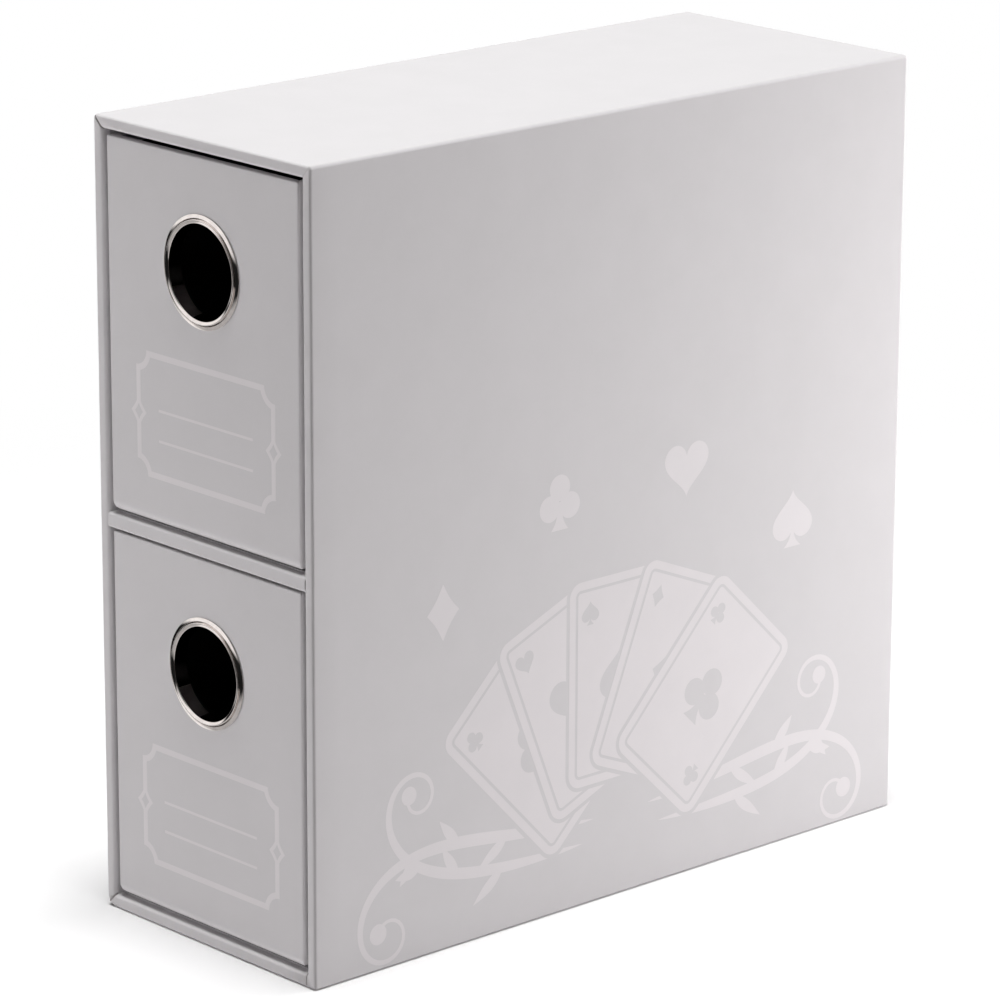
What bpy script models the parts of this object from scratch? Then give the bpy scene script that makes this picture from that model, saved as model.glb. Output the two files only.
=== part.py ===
"""Upright card box of paper-covered greyboard: a case with a fixed shelf and two drawers.

Metres, +Z up. The front faces -Y, and the origin is under the middle of the case.
Every board lies one glue line inside the paper that covers it, so no two pieces touch.
"""
import math

import bmesh
import bpy
from mathutils import Vector

# Case, overall
CASE_WIDTH = 0.084
CASE_DEPTH = 0.210
CASE_HEIGHT = 0.212

# Greyboard and papers
CASE_BOARD = 0.0026
SHELF_BOARD = 0.0034
DRAWER_BOARD = 0.0018
WRAP_PAPER = 0.00025
BAY_PAPER = 0.00025
BACK_PAPER = 0.00025
BASE_PAPER = 0.0003
DRAWER_PAPER = 0.0002
BLACK_PAPER = 0.0002
GLUE_LINE = 0.0001

# Folds and edges of the case
CASE_EDGE_RADIUS = 0.0010
CASE_RIM_RADIUS = 0.0006
CASE_TURN_IN = 0.015
BACK_TURN_IN = 0.012
BAY_LINING_SETBACK = 0.0025
SHEET_MARGIN = 0.0025
SHELF_SETBACK = 0.0002
SHELF_NOSE_RADIUS = 0.0008
SHELF_TURN_IN = 0.015
SHELF_HEIGHT_SHARE = 0.5

# Fit of a drawer in its bay
DRAWER_SETBACK = 0.0003
DRAWER_SIDE_CLEARANCE = 0.00105
DRAWER_HEAD_CLEARANCE = 0.0010
DRAWER_RUNNING_GAP = 0.0003
DRAWER_REAR_CLEARANCE = 0.0015

# Folds and edges of a drawer
DRAWER_EDGE_RADIUS = 0.0007
DRAWER_FOOT_RADIUS = 0.0030
DRAWER_RIM_RADIUS = 0.0005
DRAWER_TURN_IN = 0.012
BLACK_LINING_DROP = 0.0025
BLACK_FOLD_RADIUS = 0.0006

# Finger ring: heights are measured out of the drawer's front
RING_DROP = 0.029
RING_BORE_RADIUS = 0.0124
RING_BARREL_WALL = 0.0004
RING_BEAD_WIDTH = 0.00095
RING_BEAD_HEIGHT = 0.00075
RING_GROOVE_WIDTH = 0.00015
RING_GROOVE_HEIGHT = 0.0004
RING_FLANGE_CREST = 0.0006
RING_FLANGE_WIDTH = 0.00125
RING_FLANGE_EDGE = 0.0003
RING_CLINCH_WIDTH = 0.0013
RING_CLINCH_METAL = 0.0004
RING_HOLE_CLEARANCE = 0.0003
RING_EDGE_RADIUS = 0.00008
BEAD_ROUND_SHARE = 0.32
CLINCH_ROUND_SHARE = 0.3
WASHER_METAL = 0.0005
WASHER_OVERLAP = 0.0028
WASHER_EDGE_RADIUS = 0.00015

# Mesh steps and small construction values
FOLD_RADIUS = 0.00008
OVERRUN = 0.004
CORNER_STEPS = 3
FILLET_STEPS = 3
RING_STEPS = 48
SMOOTH_ANGLE = math.radians(35)

# Values worked out from the ones above
CASE_SKIN = WRAP_PAPER + GLUE_LINE
CASE_WALL = CASE_BOARD + 2 * CASE_SKIN
BAY_SKIN = BAY_PAPER + GLUE_LINE
BASE_STACK = BASE_PAPER + GLUE_LINE
BACK_STACK = BACK_PAPER + GLUE_LINE
BODY_HEIGHT = CASE_HEIGHT - BASE_STACK
BODY_MIDDLE = BASE_STACK + BODY_HEIGHT / 2
CASE_FRONT = -CASE_DEPTH / 2
CASE_BACK = CASE_DEPTH / 2
WRAP_BACK = CASE_BACK - BACK_STACK
BOARD_FRONT = CASE_FRONT + CASE_SKIN
BOARD_BACK = WRAP_BACK - CASE_SKIN
BAY_END = BOARD_BACK - CASE_BOARD - GLUE_LINE

SHELF_THICKNESS = SHELF_BOARD + 2 * CASE_SKIN
SHELF_MIDDLE = BASE_STACK + BODY_HEIGHT * SHELF_HEIGHT_SHARE
SHELF_TOP = SHELF_MIDDLE + SHELF_THICKNESS / 2
SHELF_BOTTOM = SHELF_MIDDLE - SHELF_THICKNESS / 2
SHELF_FRONT = CASE_FRONT + SHELF_SETBACK
BAY_WIDTH = CASE_WIDTH - 2 * CASE_WALL

DRAWER_SKIN = DRAWER_PAPER + GLUE_LINE
DRAWER_WALL = DRAWER_BOARD + 2 * DRAWER_SKIN
DRAWER_WIDTH = BAY_WIDTH - 2 * BAY_SKIN - 2 * DRAWER_SIDE_CLEARANCE
DRAWER_FRONT = CASE_FRONT + DRAWER_SETBACK
DRAWER_BACK = BAY_END - BAY_PAPER - DRAWER_REAR_CLEARANCE
DRAWER_DEPTH = DRAWER_BACK - DRAWER_FRONT
DRAWER_FLOOR = DRAWER_SKIN + DRAWER_BOARD
LINED_WALL = DRAWER_WALL + GLUE_LINE + BLACK_PAPER
FOOT_FLAT = DRAWER_FOOT_RADIUS + LINED_WALL

RING_BARREL_RADIUS = RING_BORE_RADIUS + RING_BARREL_WALL
RING_HOLE_RADIUS = RING_BARREL_RADIUS + RING_HOLE_CLEARANCE
RING_CLINCH_RADIUS = RING_BARREL_RADIUS + RING_CLINCH_WIDTH
WASHER_RADIUS = RING_HOLE_RADIUS + WASHER_OVERLAP

# Colours of the papers, boards and metal, and finishes of (colour, roughness, metallic)
PALE_PAPER = (0.69, 0.66, 0.69, 1.0)
GREY_BOARD = (0.30, 0.28, 0.26, 1.0)
DARK_PAPER = (0.012, 0.012, 0.013, 1.0)
PLATED_METAL = (0.72, 0.70, 0.67, 1.0)
PAPER_FINISH = (PALE_PAPER, 0.5, 0.0)
BOARD_FINISH = (GREY_BOARD, 0.9, 0.0)
LINING_FINISH = (DARK_PAPER, 0.7, 0.0)
METAL_FINISH = (PLATED_METAL, 0.18, 1.0)


def clear_scene():
    """Start from an empty scene."""
    for thing in list(bpy.data.objects):
        bpy.data.objects.remove(thing, do_unlink=True)


def make_material(name, colour, roughness, metallic):
    """One plain finish for one sub-part."""
    material = bpy.data.materials.new(name)
    material.use_nodes = True
    shader = material.node_tree.nodes["Principled BSDF"]
    shader.inputs["Base Color"].default_value = colour
    shader.inputs["Roughness"].default_value = roughness
    shader.inputs["Metallic"].default_value = metallic
    material.diffuse_color = colour
    return material


def finish_object(name, mesh_data, finish, parent=None, guide=False):
    """Turn a bmesh into a named object with its own material, at its parent's origin."""
    bmesh.ops.recalc_face_normals(mesh_data, faces=mesh_data.faces)
    mesh = bpy.data.meshes.new(name)
    mesh_data.to_mesh(mesh)
    mesh_data.free()
    thing = bpy.data.objects.new(name, mesh)
    bpy.context.collection.objects.link(thing)
    if parent is not None:
        thing.parent = parent
    if guide:
        thing.hide_render = True
        thing.display_type = "WIRE"
    else:
        mesh.materials.append(make_material(name, *finish))
    return thing


def smooth(thing):
    """Shade a rounded piece smooth, with its real edges kept sharp."""
    thing.data.shade_smooth()
    thing.data.set_sharp_from_angle(angle=SMOOTH_ANGLE)


def softened(radius, depth):
    """Radius of a fold seen from a layer that lies deeper inside it."""
    return max(radius - depth, FOLD_RADIUS)


def filleted(corners):
    """Points of a path whose corners are (across, along, radius), with an arc at each radius."""
    points = []
    count = len(corners)
    for index, (across, along, radius) in enumerate(corners):
        here = Vector((across, along))
        if radius == 0:
            points.append(here)
            continue
        before = Vector(corners[index - 1][:2]) - here
        after = Vector(corners[(index + 1) % count][:2]) - here
        half_angle = before.angle(after) / 2
        reach = radius / math.tan(half_angle)
        inward = (before.normalized() + after.normalized()).normalized()
        centre = here + inward * radius / math.sin(half_angle)
        start = here + before.normalized() * reach - centre
        end = here + after.normalized() * reach - centre
        sweep = start.angle_signed(end)
        for step in range(FILLET_STEPS + 1):
            turn = -sweep * step / FILLET_STEPS
            points.append(centre + Vector((start.x * math.cos(turn) - start.y * math.sin(turn),
                                           start.x * math.sin(turn) + start.y * math.cos(turn))))
    return points


def rounded_outline(width, height, edge_radius, inset):
    """Points round a rectangle with rounded corners, drawn in by an inset."""
    radius = softened(edge_radius, inset)
    reach_x = width / 2 - inset - radius
    reach_y = height / 2 - inset - radius
    points = []
    for quarter, (side_x, side_y) in enumerate(((1, 1), (-1, 1), (-1, -1), (1, -1))):
        for step in range(CORNER_STEPS + 1):
            angle = (quarter + step / CORNER_STEPS) * math.pi / 2
            points.append((side_x * reach_x + radius * math.cos(angle),
                           side_y * reach_y + radius * math.sin(angle)))
    return points


def stacked_solid(width, height, edge_radius, profile, place, is_ring):
    """Rounded rectangles stacked along a profile of (inset, along) points.

    A ring's last loop meets its first. Any other solid is capped at both ends.
    """
    mesh_data = bmesh.new()
    loops = []
    for inset, along in profile:
        outline = rounded_outline(width, height, edge_radius, inset)
        loops.append([mesh_data.verts.new(place(across, up, along)) for across, up in outline])
    pairs = list(zip(loops, loops[1:]))
    if is_ring:
        pairs.append((loops[-1], loops[0]))
    for lower, upper in pairs:
        count = len(lower)
        for index in range(count):
            after = (index + 1) % count
            mesh_data.faces.new((lower[index], lower[after], upper[after], upper[index]))
    if not is_ring:
        mesh_data.faces.new(loops[0])
        mesh_data.faces.new(loops[-1])
    return mesh_data


def box_solid(low, high):
    """A box between two corners."""
    mesh_data = bmesh.new()
    bmesh.ops.create_cube(mesh_data, size=1)
    low = Vector(low)
    high = Vector(high)
    bmesh.ops.scale(mesh_data, vec=high - low, verts=mesh_data.verts)
    bmesh.ops.translate(mesh_data, vec=(low + high) / 2, verts=mesh_data.verts)
    return mesh_data


def extruded_solid(outline, start_x, end_x):
    """An outline of (y, z) points pulled along X."""
    mesh_data = bmesh.new()
    bottom = mesh_data.faces.new([mesh_data.verts.new((start_x, y, z)) for y, z in outline])
    pulled = bmesh.ops.extrude_face_region(mesh_data, geom=[bottom])
    moved = [item for item in pulled["geom"] if isinstance(item, bmesh.types.BMVert)]
    bmesh.ops.translate(mesh_data, vec=(end_x - start_x, 0, 0), verts=moved)
    return mesh_data


def turned_loops(mesh_data, profile, centre_z):
    """Points of (radius, height) about an axis that points to the front, one list for each step."""
    loops = []
    for step in range(RING_STEPS):
        angle = 2 * math.pi * step / RING_STEPS
        loops.append([mesh_data.verts.new((radius * math.cos(angle), -height,
                                           centre_z + radius * math.sin(angle)))
                      for radius, height in profile])
    return loops


def turned_solid(profile, centre_z):
    """A closed profile turned into a ring."""
    mesh_data = bmesh.new()
    loops = turned_loops(mesh_data, profile, centre_z)
    for here, beyond in zip(loops, loops[1:] + loops[:1]):
        for index in range(len(profile)):
            mesh_data.faces.new((here[index - 1], here[index], beyond[index], beyond[index - 1]))
    return mesh_data


def turned_plug(profile, centre_z):
    """An open profile turned into a plug, with flat ends."""
    mesh_data = bmesh.new()
    loops = turned_loops(mesh_data, profile, centre_z)
    for here, beyond in zip(loops, loops[1:] + loops[:1]):
        for index in range(1, len(profile)):
            mesh_data.faces.new((here[index - 1], here[index], beyond[index], beyond[index - 1]))
    mesh_data.faces.new([loop[0] for loop in loops])
    mesh_data.faces.new([loop[-1] for loop in loops])
    return mesh_data


def cut(thing, cutter, operation):
    """Trim a piece with a guide solid."""
    modifier = thing.modifiers.new(cutter.name, "BOOLEAN")
    modifier.operation = operation
    modifier.object = cutter
    modifier.solver = "EXACT"


def facing_front(middle_z):
    """Place for outlines that stand in the XZ plane and are stacked along Y."""
    return lambda across, up, along: (across, along, middle_z + up)


def facing_up(middle_y):
    """Place for outlines that lie in the XY plane and are stacked along Z."""
    return lambda across, up, along: (across, middle_y + up, along)


def make_case_boards():
    """Four boards trimmed to the space inside the folded wrap, with the back board between them."""
    inner = CASE_SKIN + CASE_BOARD
    edge = softened(CASE_EDGE_RADIUS, CASE_SKIN)
    rim = softened(CASE_RIM_RADIUS, CASE_SKIN)
    space_profile = filleted([
        (CASE_SKIN, BOARD_BACK, edge),
        (CASE_SKIN, BOARD_FRONT, rim),
        (inner, BOARD_FRONT, rim),
        (inner, BOARD_BACK, 0),
    ])
    space = finish_object(
        "case_board_space",
        stacked_solid(CASE_WIDTH, BODY_HEIGHT, CASE_EDGE_RADIUS, space_profile,
                      facing_front(BODY_MIDDLE), True),
        None, guide=True)
    side = CASE_WIDTH / 2 - inner
    floor = BASE_STACK + inner
    ceiling = CASE_HEIGHT - inner
    past_x = CASE_WIDTH / 2 + OVERRUN
    past_y = CASE_DEPTH / 2 + OVERRUN
    past_z = CASE_HEIGHT + OVERRUN
    within = side - GLUE_LINE
    boxes = {
        "case_left_board": ((-past_x, -past_y, -OVERRUN), (-side, past_y, past_z)),
        "case_right_board": ((side, -past_y, -OVERRUN), (past_x, past_y, past_z)),
        "case_top_board": ((-within, -past_y, ceiling), (within, past_y, past_z)),
        "case_bottom_board": ((-within, -past_y, -OVERRUN), (within, past_y, floor)),
    }
    for name, (low, high) in boxes.items():
        board = finish_object(name, box_solid(low, high), BOARD_FINISH)
        cut(board, space, "INTERSECT")
    finish_object("case_back_board", box_solid(
        (-within, BOARD_BACK - CASE_BOARD, floor + GLUE_LINE),
        (within, BOARD_BACK, ceiling - GLUE_LINE)), BOARD_FINISH)


def make_case_wrap():
    """One sheet round the four sides, folded over the front rim and onto the back."""
    paper = WRAP_PAPER
    front_inside = CASE_FRONT + paper
    back_inside = WRAP_BACK - paper
    inner_edge = softened(CASE_EDGE_RADIUS, paper)
    inner_rim = softened(CASE_RIM_RADIUS, paper)
    turn_end = CASE_FRONT + CASE_TURN_IN
    profile = filleted([
        (BACK_TURN_IN, WRAP_BACK, 0),
        (0, WRAP_BACK, CASE_EDGE_RADIUS),
        (0, CASE_FRONT, CASE_RIM_RADIUS),
        (CASE_WALL, CASE_FRONT, CASE_RIM_RADIUS),
        (CASE_WALL, turn_end, 0),
        (CASE_WALL - paper, turn_end, 0),
        (CASE_WALL - paper, front_inside, inner_rim),
        (paper, front_inside, inner_rim),
        (paper, back_inside, inner_edge),
        (BACK_TURN_IN, back_inside, 0),
    ])
    wrap = finish_object("case_wrap", stacked_solid(
        CASE_WIDTH, BODY_HEIGHT, CASE_EDGE_RADIUS, profile, facing_front(BODY_MIDDLE), True),
        PAPER_FINISH)
    smooth(wrap)


def make_case_sheets():
    """Sheets that cover the wrap's folded edges on the back and under the box."""
    half_width = CASE_WIDTH / 2 - SHEET_MARGIN
    finish_object("case_back_sheet", box_solid(
        (-half_width, CASE_BACK - BACK_PAPER, BASE_STACK + SHEET_MARGIN),
        (half_width, CASE_BACK, CASE_HEIGHT - SHEET_MARGIN)), PAPER_FINISH)
    finish_object("case_base_sheet", box_solid(
        (-half_width, CASE_FRONT + SHEET_MARGIN, 0),
        (half_width, WRAP_BACK - SHEET_MARGIN, BASE_PAPER)), PAPER_FINISH)


def make_shelf():
    """The shelf board and the strip folded round its front edge."""
    half_width = BAY_WIDTH / 2 - GLUE_LINE
    board_nose = softened(SHELF_NOSE_RADIUS, CASE_SKIN)
    board_outline = filleted([
        (BAY_END, SHELF_BOTTOM + CASE_SKIN, 0),
        (SHELF_FRONT + CASE_SKIN, SHELF_BOTTOM + CASE_SKIN, board_nose),
        (SHELF_FRONT + CASE_SKIN, SHELF_TOP - CASE_SKIN, board_nose),
        (BAY_END, SHELF_TOP - CASE_SKIN, 0),
    ])
    finish_object("case_shelf_board", extruded_solid(board_outline, -half_width, half_width), BOARD_FINISH)
    inner_nose = softened(SHELF_NOSE_RADIUS, WRAP_PAPER)
    turn_end = SHELF_FRONT + SHELF_TURN_IN
    wrap_outline = filleted([
        (turn_end, SHELF_BOTTOM, 0),
        (SHELF_FRONT, SHELF_BOTTOM, SHELF_NOSE_RADIUS),
        (SHELF_FRONT, SHELF_TOP, SHELF_NOSE_RADIUS),
        (turn_end, SHELF_TOP, 0),
        (turn_end, SHELF_TOP - WRAP_PAPER, 0),
        (SHELF_FRONT + WRAP_PAPER, SHELF_TOP - WRAP_PAPER, inner_nose),
        (SHELF_FRONT + WRAP_PAPER, SHELF_BOTTOM + WRAP_PAPER, inner_nose),
        (turn_end, SHELF_BOTTOM + WRAP_PAPER, 0),
    ])
    strip_mesh = extruded_solid(wrap_outline, -half_width, half_width)
    strip = finish_object("case_shelf_wrap", strip_mesh, PAPER_FINISH)
    smooth(strip)


def make_bay_lining(name, bay_floor, bay_ceiling):
    """Paper on the four walls and the back of one bay."""
    outside = GLUE_LINE
    inside = GLUE_LINE + BAY_PAPER
    front = CASE_FRONT + BAY_LINING_SETBACK
    profile = [
        (outside, BAY_END),
        (outside, front),
        (inside, front),
        (inside, BAY_END - BAY_PAPER),
    ]
    finish_object(name, stacked_solid(
        BAY_WIDTH, bay_ceiling - bay_floor, 0, profile,
        facing_front((bay_floor + bay_ceiling) / 2), False), PAPER_FINISH)


def make_drawer_boards(prefix, slide, rim, hole):
    """Four wall boards and the floor between them, trimmed to the tray that the wrap leaves."""
    inner = DRAWER_FLOOR
    rim_radius = softened(DRAWER_RIM_RADIUS, DRAWER_SKIN)
    tray_profile = filleted([
        (FOOT_FLAT, DRAWER_SKIN, 0),
        (DRAWER_SKIN, DRAWER_SKIN, softened(DRAWER_FOOT_RADIUS, DRAWER_SKIN)),
        (DRAWER_SKIN, rim - DRAWER_SKIN, rim_radius),
        (inner, rim - DRAWER_SKIN, rim_radius),
        (inner, DRAWER_FLOOR, 0),
    ])
    tray = finish_object(
        prefix + "_board_tray",
        stacked_solid(DRAWER_WIDTH, DRAWER_DEPTH, DRAWER_EDGE_RADIUS, tray_profile,
                      facing_up(DRAWER_DEPTH / 2), False),
        None, parent=slide, guide=True)
    side = DRAWER_WIDTH / 2 - inner
    within = side - GLUE_LINE
    past_x = DRAWER_WIDTH / 2 + OVERRUN
    past_back = DRAWER_DEPTH + OVERRUN
    past_rim = rim + OVERRUN
    boxes = {
        "_left_board": ((-past_x, -OVERRUN, -OVERRUN), (-side, past_back, past_rim)),
        "_right_board": ((side, -OVERRUN, -OVERRUN), (past_x, past_back, past_rim)),
        "_front_board": ((-within, -OVERRUN, -OVERRUN), (within, inner, past_rim)),
        "_back_board": ((-within, DRAWER_DEPTH - inner, -OVERRUN), (within, past_back, past_rim)),
        "_floor_board": ((-within, inner + GLUE_LINE, -OVERRUN),
                         (within, DRAWER_DEPTH - inner - GLUE_LINE, DRAWER_FLOOR + OVERRUN)),
    }
    for ending, (low, high) in boxes.items():
        board = finish_object(prefix + ending, box_solid(low, high), BOARD_FINISH, parent=slide)
        cut(board, tray, "INTERSECT")
        if ending == "_front_board":
            cut(board, hole, "DIFFERENCE")


def make_drawer_papers(prefix, slide, rim, hole):
    """The pale wrap, folded over the rim, and the black lining inside."""
    paper = DRAWER_PAPER
    turn_end = rim - DRAWER_TURN_IN
    inner_rim = softened(DRAWER_RIM_RADIUS, paper)
    wrap_profile = filleted([
        (FOOT_FLAT, 0, 0),
        (0, 0, DRAWER_FOOT_RADIUS),
        (0, rim, DRAWER_RIM_RADIUS),
        (DRAWER_WALL, rim, DRAWER_RIM_RADIUS),
        (DRAWER_WALL, turn_end, 0),
        (DRAWER_WALL - paper, turn_end, 0),
        (DRAWER_WALL - paper, rim - paper, inner_rim),
        (paper, rim - paper, inner_rim),
        (paper, paper, softened(DRAWER_FOOT_RADIUS, paper)),
        (FOOT_FLAT, paper, 0),
    ])
    wrap = finish_object(prefix + "_wrap", stacked_solid(
        DRAWER_WIDTH, DRAWER_DEPTH, DRAWER_EDGE_RADIUS, wrap_profile,
        facing_up(DRAWER_DEPTH / 2), False), PAPER_FINISH, parent=slide)
    smooth(wrap)
    cut(wrap, hole, "DIFFERENCE")

    outside = DRAWER_WALL + GLUE_LINE
    floor = DRAWER_FLOOR + GLUE_LINE
    top = rim - BLACK_LINING_DROP
    flat = LINED_WALL + BLACK_FOLD_RADIUS
    lining_profile = filleted([
        (flat, floor, 0),
        (outside, floor, BLACK_FOLD_RADIUS),
        (outside, top, 0),
        (LINED_WALL, top, 0),
        (LINED_WALL, floor + BLACK_PAPER, softened(BLACK_FOLD_RADIUS, BLACK_PAPER)),
        (flat, floor + BLACK_PAPER, 0),
    ])
    lining = finish_object(prefix + "_lining", stacked_solid(
        DRAWER_WIDTH, DRAWER_DEPTH, DRAWER_EDGE_RADIUS, lining_profile,
        facing_up(DRAWER_DEPTH / 2), False), LINING_FINISH, parent=slide)
    cut(lining, hole, "DIFFERENCE")


def make_finger_ring(prefix, slide, centre_z):
    """The ring with its rolled lip and clinched barrel, and the washer behind the front."""
    washer_front = LINED_WALL + GLUE_LINE
    washer_back = washer_front + WASHER_METAL
    clinch_front = washer_back + GLUE_LINE
    clinch_back = clinch_front + RING_CLINCH_METAL
    bead_outer = RING_BORE_RADIUS + RING_BEAD_WIDTH
    crest = bead_outer + RING_GROOVE_WIDTH
    flange = crest + RING_FLANGE_WIDTH
    bead_round = RING_BEAD_WIDTH * BEAD_ROUND_SHARE
    ring_profile = filleted([
        (flange, GLUE_LINE, 0),
        (flange, RING_FLANGE_EDGE, RING_EDGE_RADIUS),
        (crest, RING_FLANGE_CREST, RING_EDGE_RADIUS),
        (bead_outer, RING_GROOVE_HEIGHT, 0),
        (bead_outer, RING_BEAD_HEIGHT, bead_round),
        (RING_BORE_RADIUS, RING_BEAD_HEIGHT, bead_round),
        (RING_BORE_RADIUS, -clinch_back, RING_CLINCH_METAL),
        (RING_CLINCH_RADIUS, -clinch_back, RING_CLINCH_METAL * CLINCH_ROUND_SHARE),
        (RING_CLINCH_RADIUS, -clinch_front, 0),
        (RING_BARREL_RADIUS, -clinch_front, 0),
        (RING_BARREL_RADIUS, GLUE_LINE, 0),
    ])
    washer_bore = RING_BARREL_RADIUS + GLUE_LINE
    washer_profile = filleted([
        (WASHER_RADIUS, -washer_front, 0),
        (washer_bore, -washer_front, 0),
        (washer_bore, -washer_back, 0),
        (WASHER_RADIUS, -washer_back, WASHER_EDGE_RADIUS),
    ])
    for ending, profile in (("_finger_ring", ring_profile), ("_ring_washer", washer_profile)):
        piece = finish_object(prefix + ending, turned_solid(profile, centre_z), METAL_FINISH, parent=slide)
        smooth(piece)


def make_drawer(prefix, bay_floor, bay_ceiling):
    """One drawer in its bay. It hangs on an empty at its front foot, which slides along Y."""
    slide = bpy.data.objects.new(prefix + "_slide", None)
    bpy.context.collection.objects.link(slide)
    slide.location = (0, DRAWER_FRONT, bay_floor + BAY_SKIN + DRAWER_RUNNING_GAP)
    rim = bay_ceiling - bay_floor - 2 * BAY_SKIN - DRAWER_RUNNING_GAP - DRAWER_HEAD_CLEARANCE
    ring_z = rim - RING_DROP
    hole_profile = [
        (RING_HOLE_RADIUS, OVERRUN),
        (RING_HOLE_RADIUS, -LINED_WALL - OVERRUN),
    ]
    hole = finish_object(prefix + "_finger_hole", turned_plug(hole_profile, ring_z), None,
                         parent=slide, guide=True)
    make_drawer_boards(prefix, slide, rim, hole)
    make_drawer_papers(prefix, slide, rim, hole)
    make_finger_ring(prefix, slide, ring_z)


def main():
    """Build the case and its two drawers."""
    clear_scene()
    make_case_boards()
    make_case_wrap()
    make_case_sheets()
    make_shelf()
    bays = {
        "lower": (BASE_STACK + CASE_WALL, SHELF_BOTTOM),
        "upper": (SHELF_TOP, CASE_HEIGHT - CASE_WALL),
    }
    for level, (bay_floor, bay_ceiling) in bays.items():
        make_bay_lining("case_" + level + "_lining", bay_floor, bay_ceiling)
        make_drawer(level + "_drawer", bay_floor, bay_ceiling)


main()
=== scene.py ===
import math

import bmesh
import bpy
from mathutils import Matrix, Vector, geometry, noise


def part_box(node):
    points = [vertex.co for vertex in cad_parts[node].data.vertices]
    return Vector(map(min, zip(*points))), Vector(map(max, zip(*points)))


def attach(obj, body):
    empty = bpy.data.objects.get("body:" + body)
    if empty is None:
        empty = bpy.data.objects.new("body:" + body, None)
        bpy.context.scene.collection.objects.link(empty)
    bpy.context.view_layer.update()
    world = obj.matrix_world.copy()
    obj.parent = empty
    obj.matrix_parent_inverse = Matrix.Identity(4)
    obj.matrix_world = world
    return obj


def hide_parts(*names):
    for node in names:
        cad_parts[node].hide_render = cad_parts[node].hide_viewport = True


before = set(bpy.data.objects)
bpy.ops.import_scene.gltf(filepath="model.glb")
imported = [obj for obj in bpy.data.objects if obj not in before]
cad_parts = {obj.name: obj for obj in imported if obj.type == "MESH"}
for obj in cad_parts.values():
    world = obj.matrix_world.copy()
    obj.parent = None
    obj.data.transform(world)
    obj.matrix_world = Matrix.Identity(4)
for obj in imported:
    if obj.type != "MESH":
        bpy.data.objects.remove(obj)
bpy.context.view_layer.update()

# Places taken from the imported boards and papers. Sizes that name no unit are in metres
CASE_LOW, CASE_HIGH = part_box("case_wrap")
SHELF_LOW, SHELF_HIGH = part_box("case_shelf_wrap")
DRAWERS = ("upper_drawer", "lower_drawer")

# Paper and folds of the case
CASE_WALL = 0.0033
CASE_PAPER = 0.00025
CASE_EDGE_FOLD = 0.0010
CREASED_EDGE_FOLD = 0.0004
CASE_RIM_FOLD = 0.0006
CASE_MOUTH_FOLD = 0.0010
CASE_TURN_IN = 0.015
BACK_TURN_IN = 0.012
BLUNT_CORNER_FOLD = 0.0026
BLUNT_CORNER_REACH = 0.012
CASE_SIDE_STEPS = (10, 26, 10, 26)
MITRE_HALF_WIDTH = 0.00042
MITRE_DEPTH = 0.00035
FAINT_MITRE_DEPTH = 0.00006
BUTT_HALF_WIDTH = 0.0003
BUTT_FROM_EDGE = 0.0036
BUTT_STATIONS = (-0.0002, -0.0001, 0, 0.0001, 0.0002)
# Painted shade on the case's right front edge: how far it reaches and how dark it is
PAINTED_EDGE_SHADE_REACH = 0.0010
PAINTED_EDGE_SHADE = 0.5

# Sheet under the case
BASE_SHEET_REACH = 0.0017
BASE_SHEET_GLUE = 0.0001
BASE_SHEET_CORNER = 0.0010

# Paper and folds of the shelf strip
SHELF_NOSE_FOLD = 0.0008
SHELF_NOSE_REACH = 4 * SHELF_NOSE_FOLD
SHELF_END_CURL = 0.0009
SHELF_END_OVERLAP = 0.0006
SHELF_END_WEAR = 0.6
SHELF_STATIONS = 20
SHELF_STATION_SPAN = 0.004

# Paper and folds of a drawer
DRAWER_WALL = 0.0024
DRAWER_PAPER = 0.0002
DRAWER_EDGE_FOLD = 0.0007
DRAWER_FOOT_FOLD = 0.0030
DRAWER_RIM_FOLD = 0.0005
DRAWER_TURN_IN = 0.012
DRAWER_RIM_RISE = {"upper_drawer": 0.0, "lower_drawer": 0.0008}
DRAWER_LAP = 0.014
DRAWER_LAP_STEP = 0.00008
DRAWER_LAP_STATIONS = (-0.0001, 0.0001)
DRAWER_SIDE_STEPS = (10, 22, 10, 22)
DRAWER_MITRE_HALF_WIDTH = 0.0002
DRAWER_MITRE_DEPTH = 0.00012
BASE_CAP_INSET = 0.030
LINING_GAP = 0.0001
LINING_PAPER = 0.0002
LINING_DROP = 0.0025
LINING_FLOOR = 0.0022
LINING_CORNER_FOLD = 0.0009

# Unevenness of hand work: its place in the noise, its length and its height
CASE_RIM_UNEVEN = (0.3, 0.011, 0.00009)
SHELF_UNEVEN = (2.0, 0.012, 0.00007)
DRAWER_RIM_UNEVEN = (4.0, 0.009, 0.00006)
LINING_TRIM_UNEVEN = (9.0, 0.02, 0.00012)

# Finger ring: heights stand out of the drawer's front
RING_BORE = 0.01235
RING_BARREL = 0.0128
RING_HOLE = 0.0131
RING_BEAD_OUTER = 0.01335
RING_BEAD_HEIGHT = 0.0010
RING_BEAD_FOLD = 0.00016
RING_THROAT_HEIGHT = 0.00062
RING_THROAT_FOLD = 0.00030
RING_GROOVE_OUTER = 0.01368
RING_GROOVE_HEIGHT = 0.0004
RING_CREST_HEIGHT = 0.00055
RING_CREST_SLOPE = 0.00005
RING_CREST_FOLD = 0.00006
RING_GROOVE_FOLD = 0.00003
RING_FLANGE = 0.01475
RING_FLANGE_EDGE = 0.00024
RING_FLANGE_FOLD = 0.00009
RING_SEAT = 0.0001
RING_SEAT_INSET = 0.0001
RING_SEAT_FOLD = 0.00005
TURNING_STEPS = 160

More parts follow.
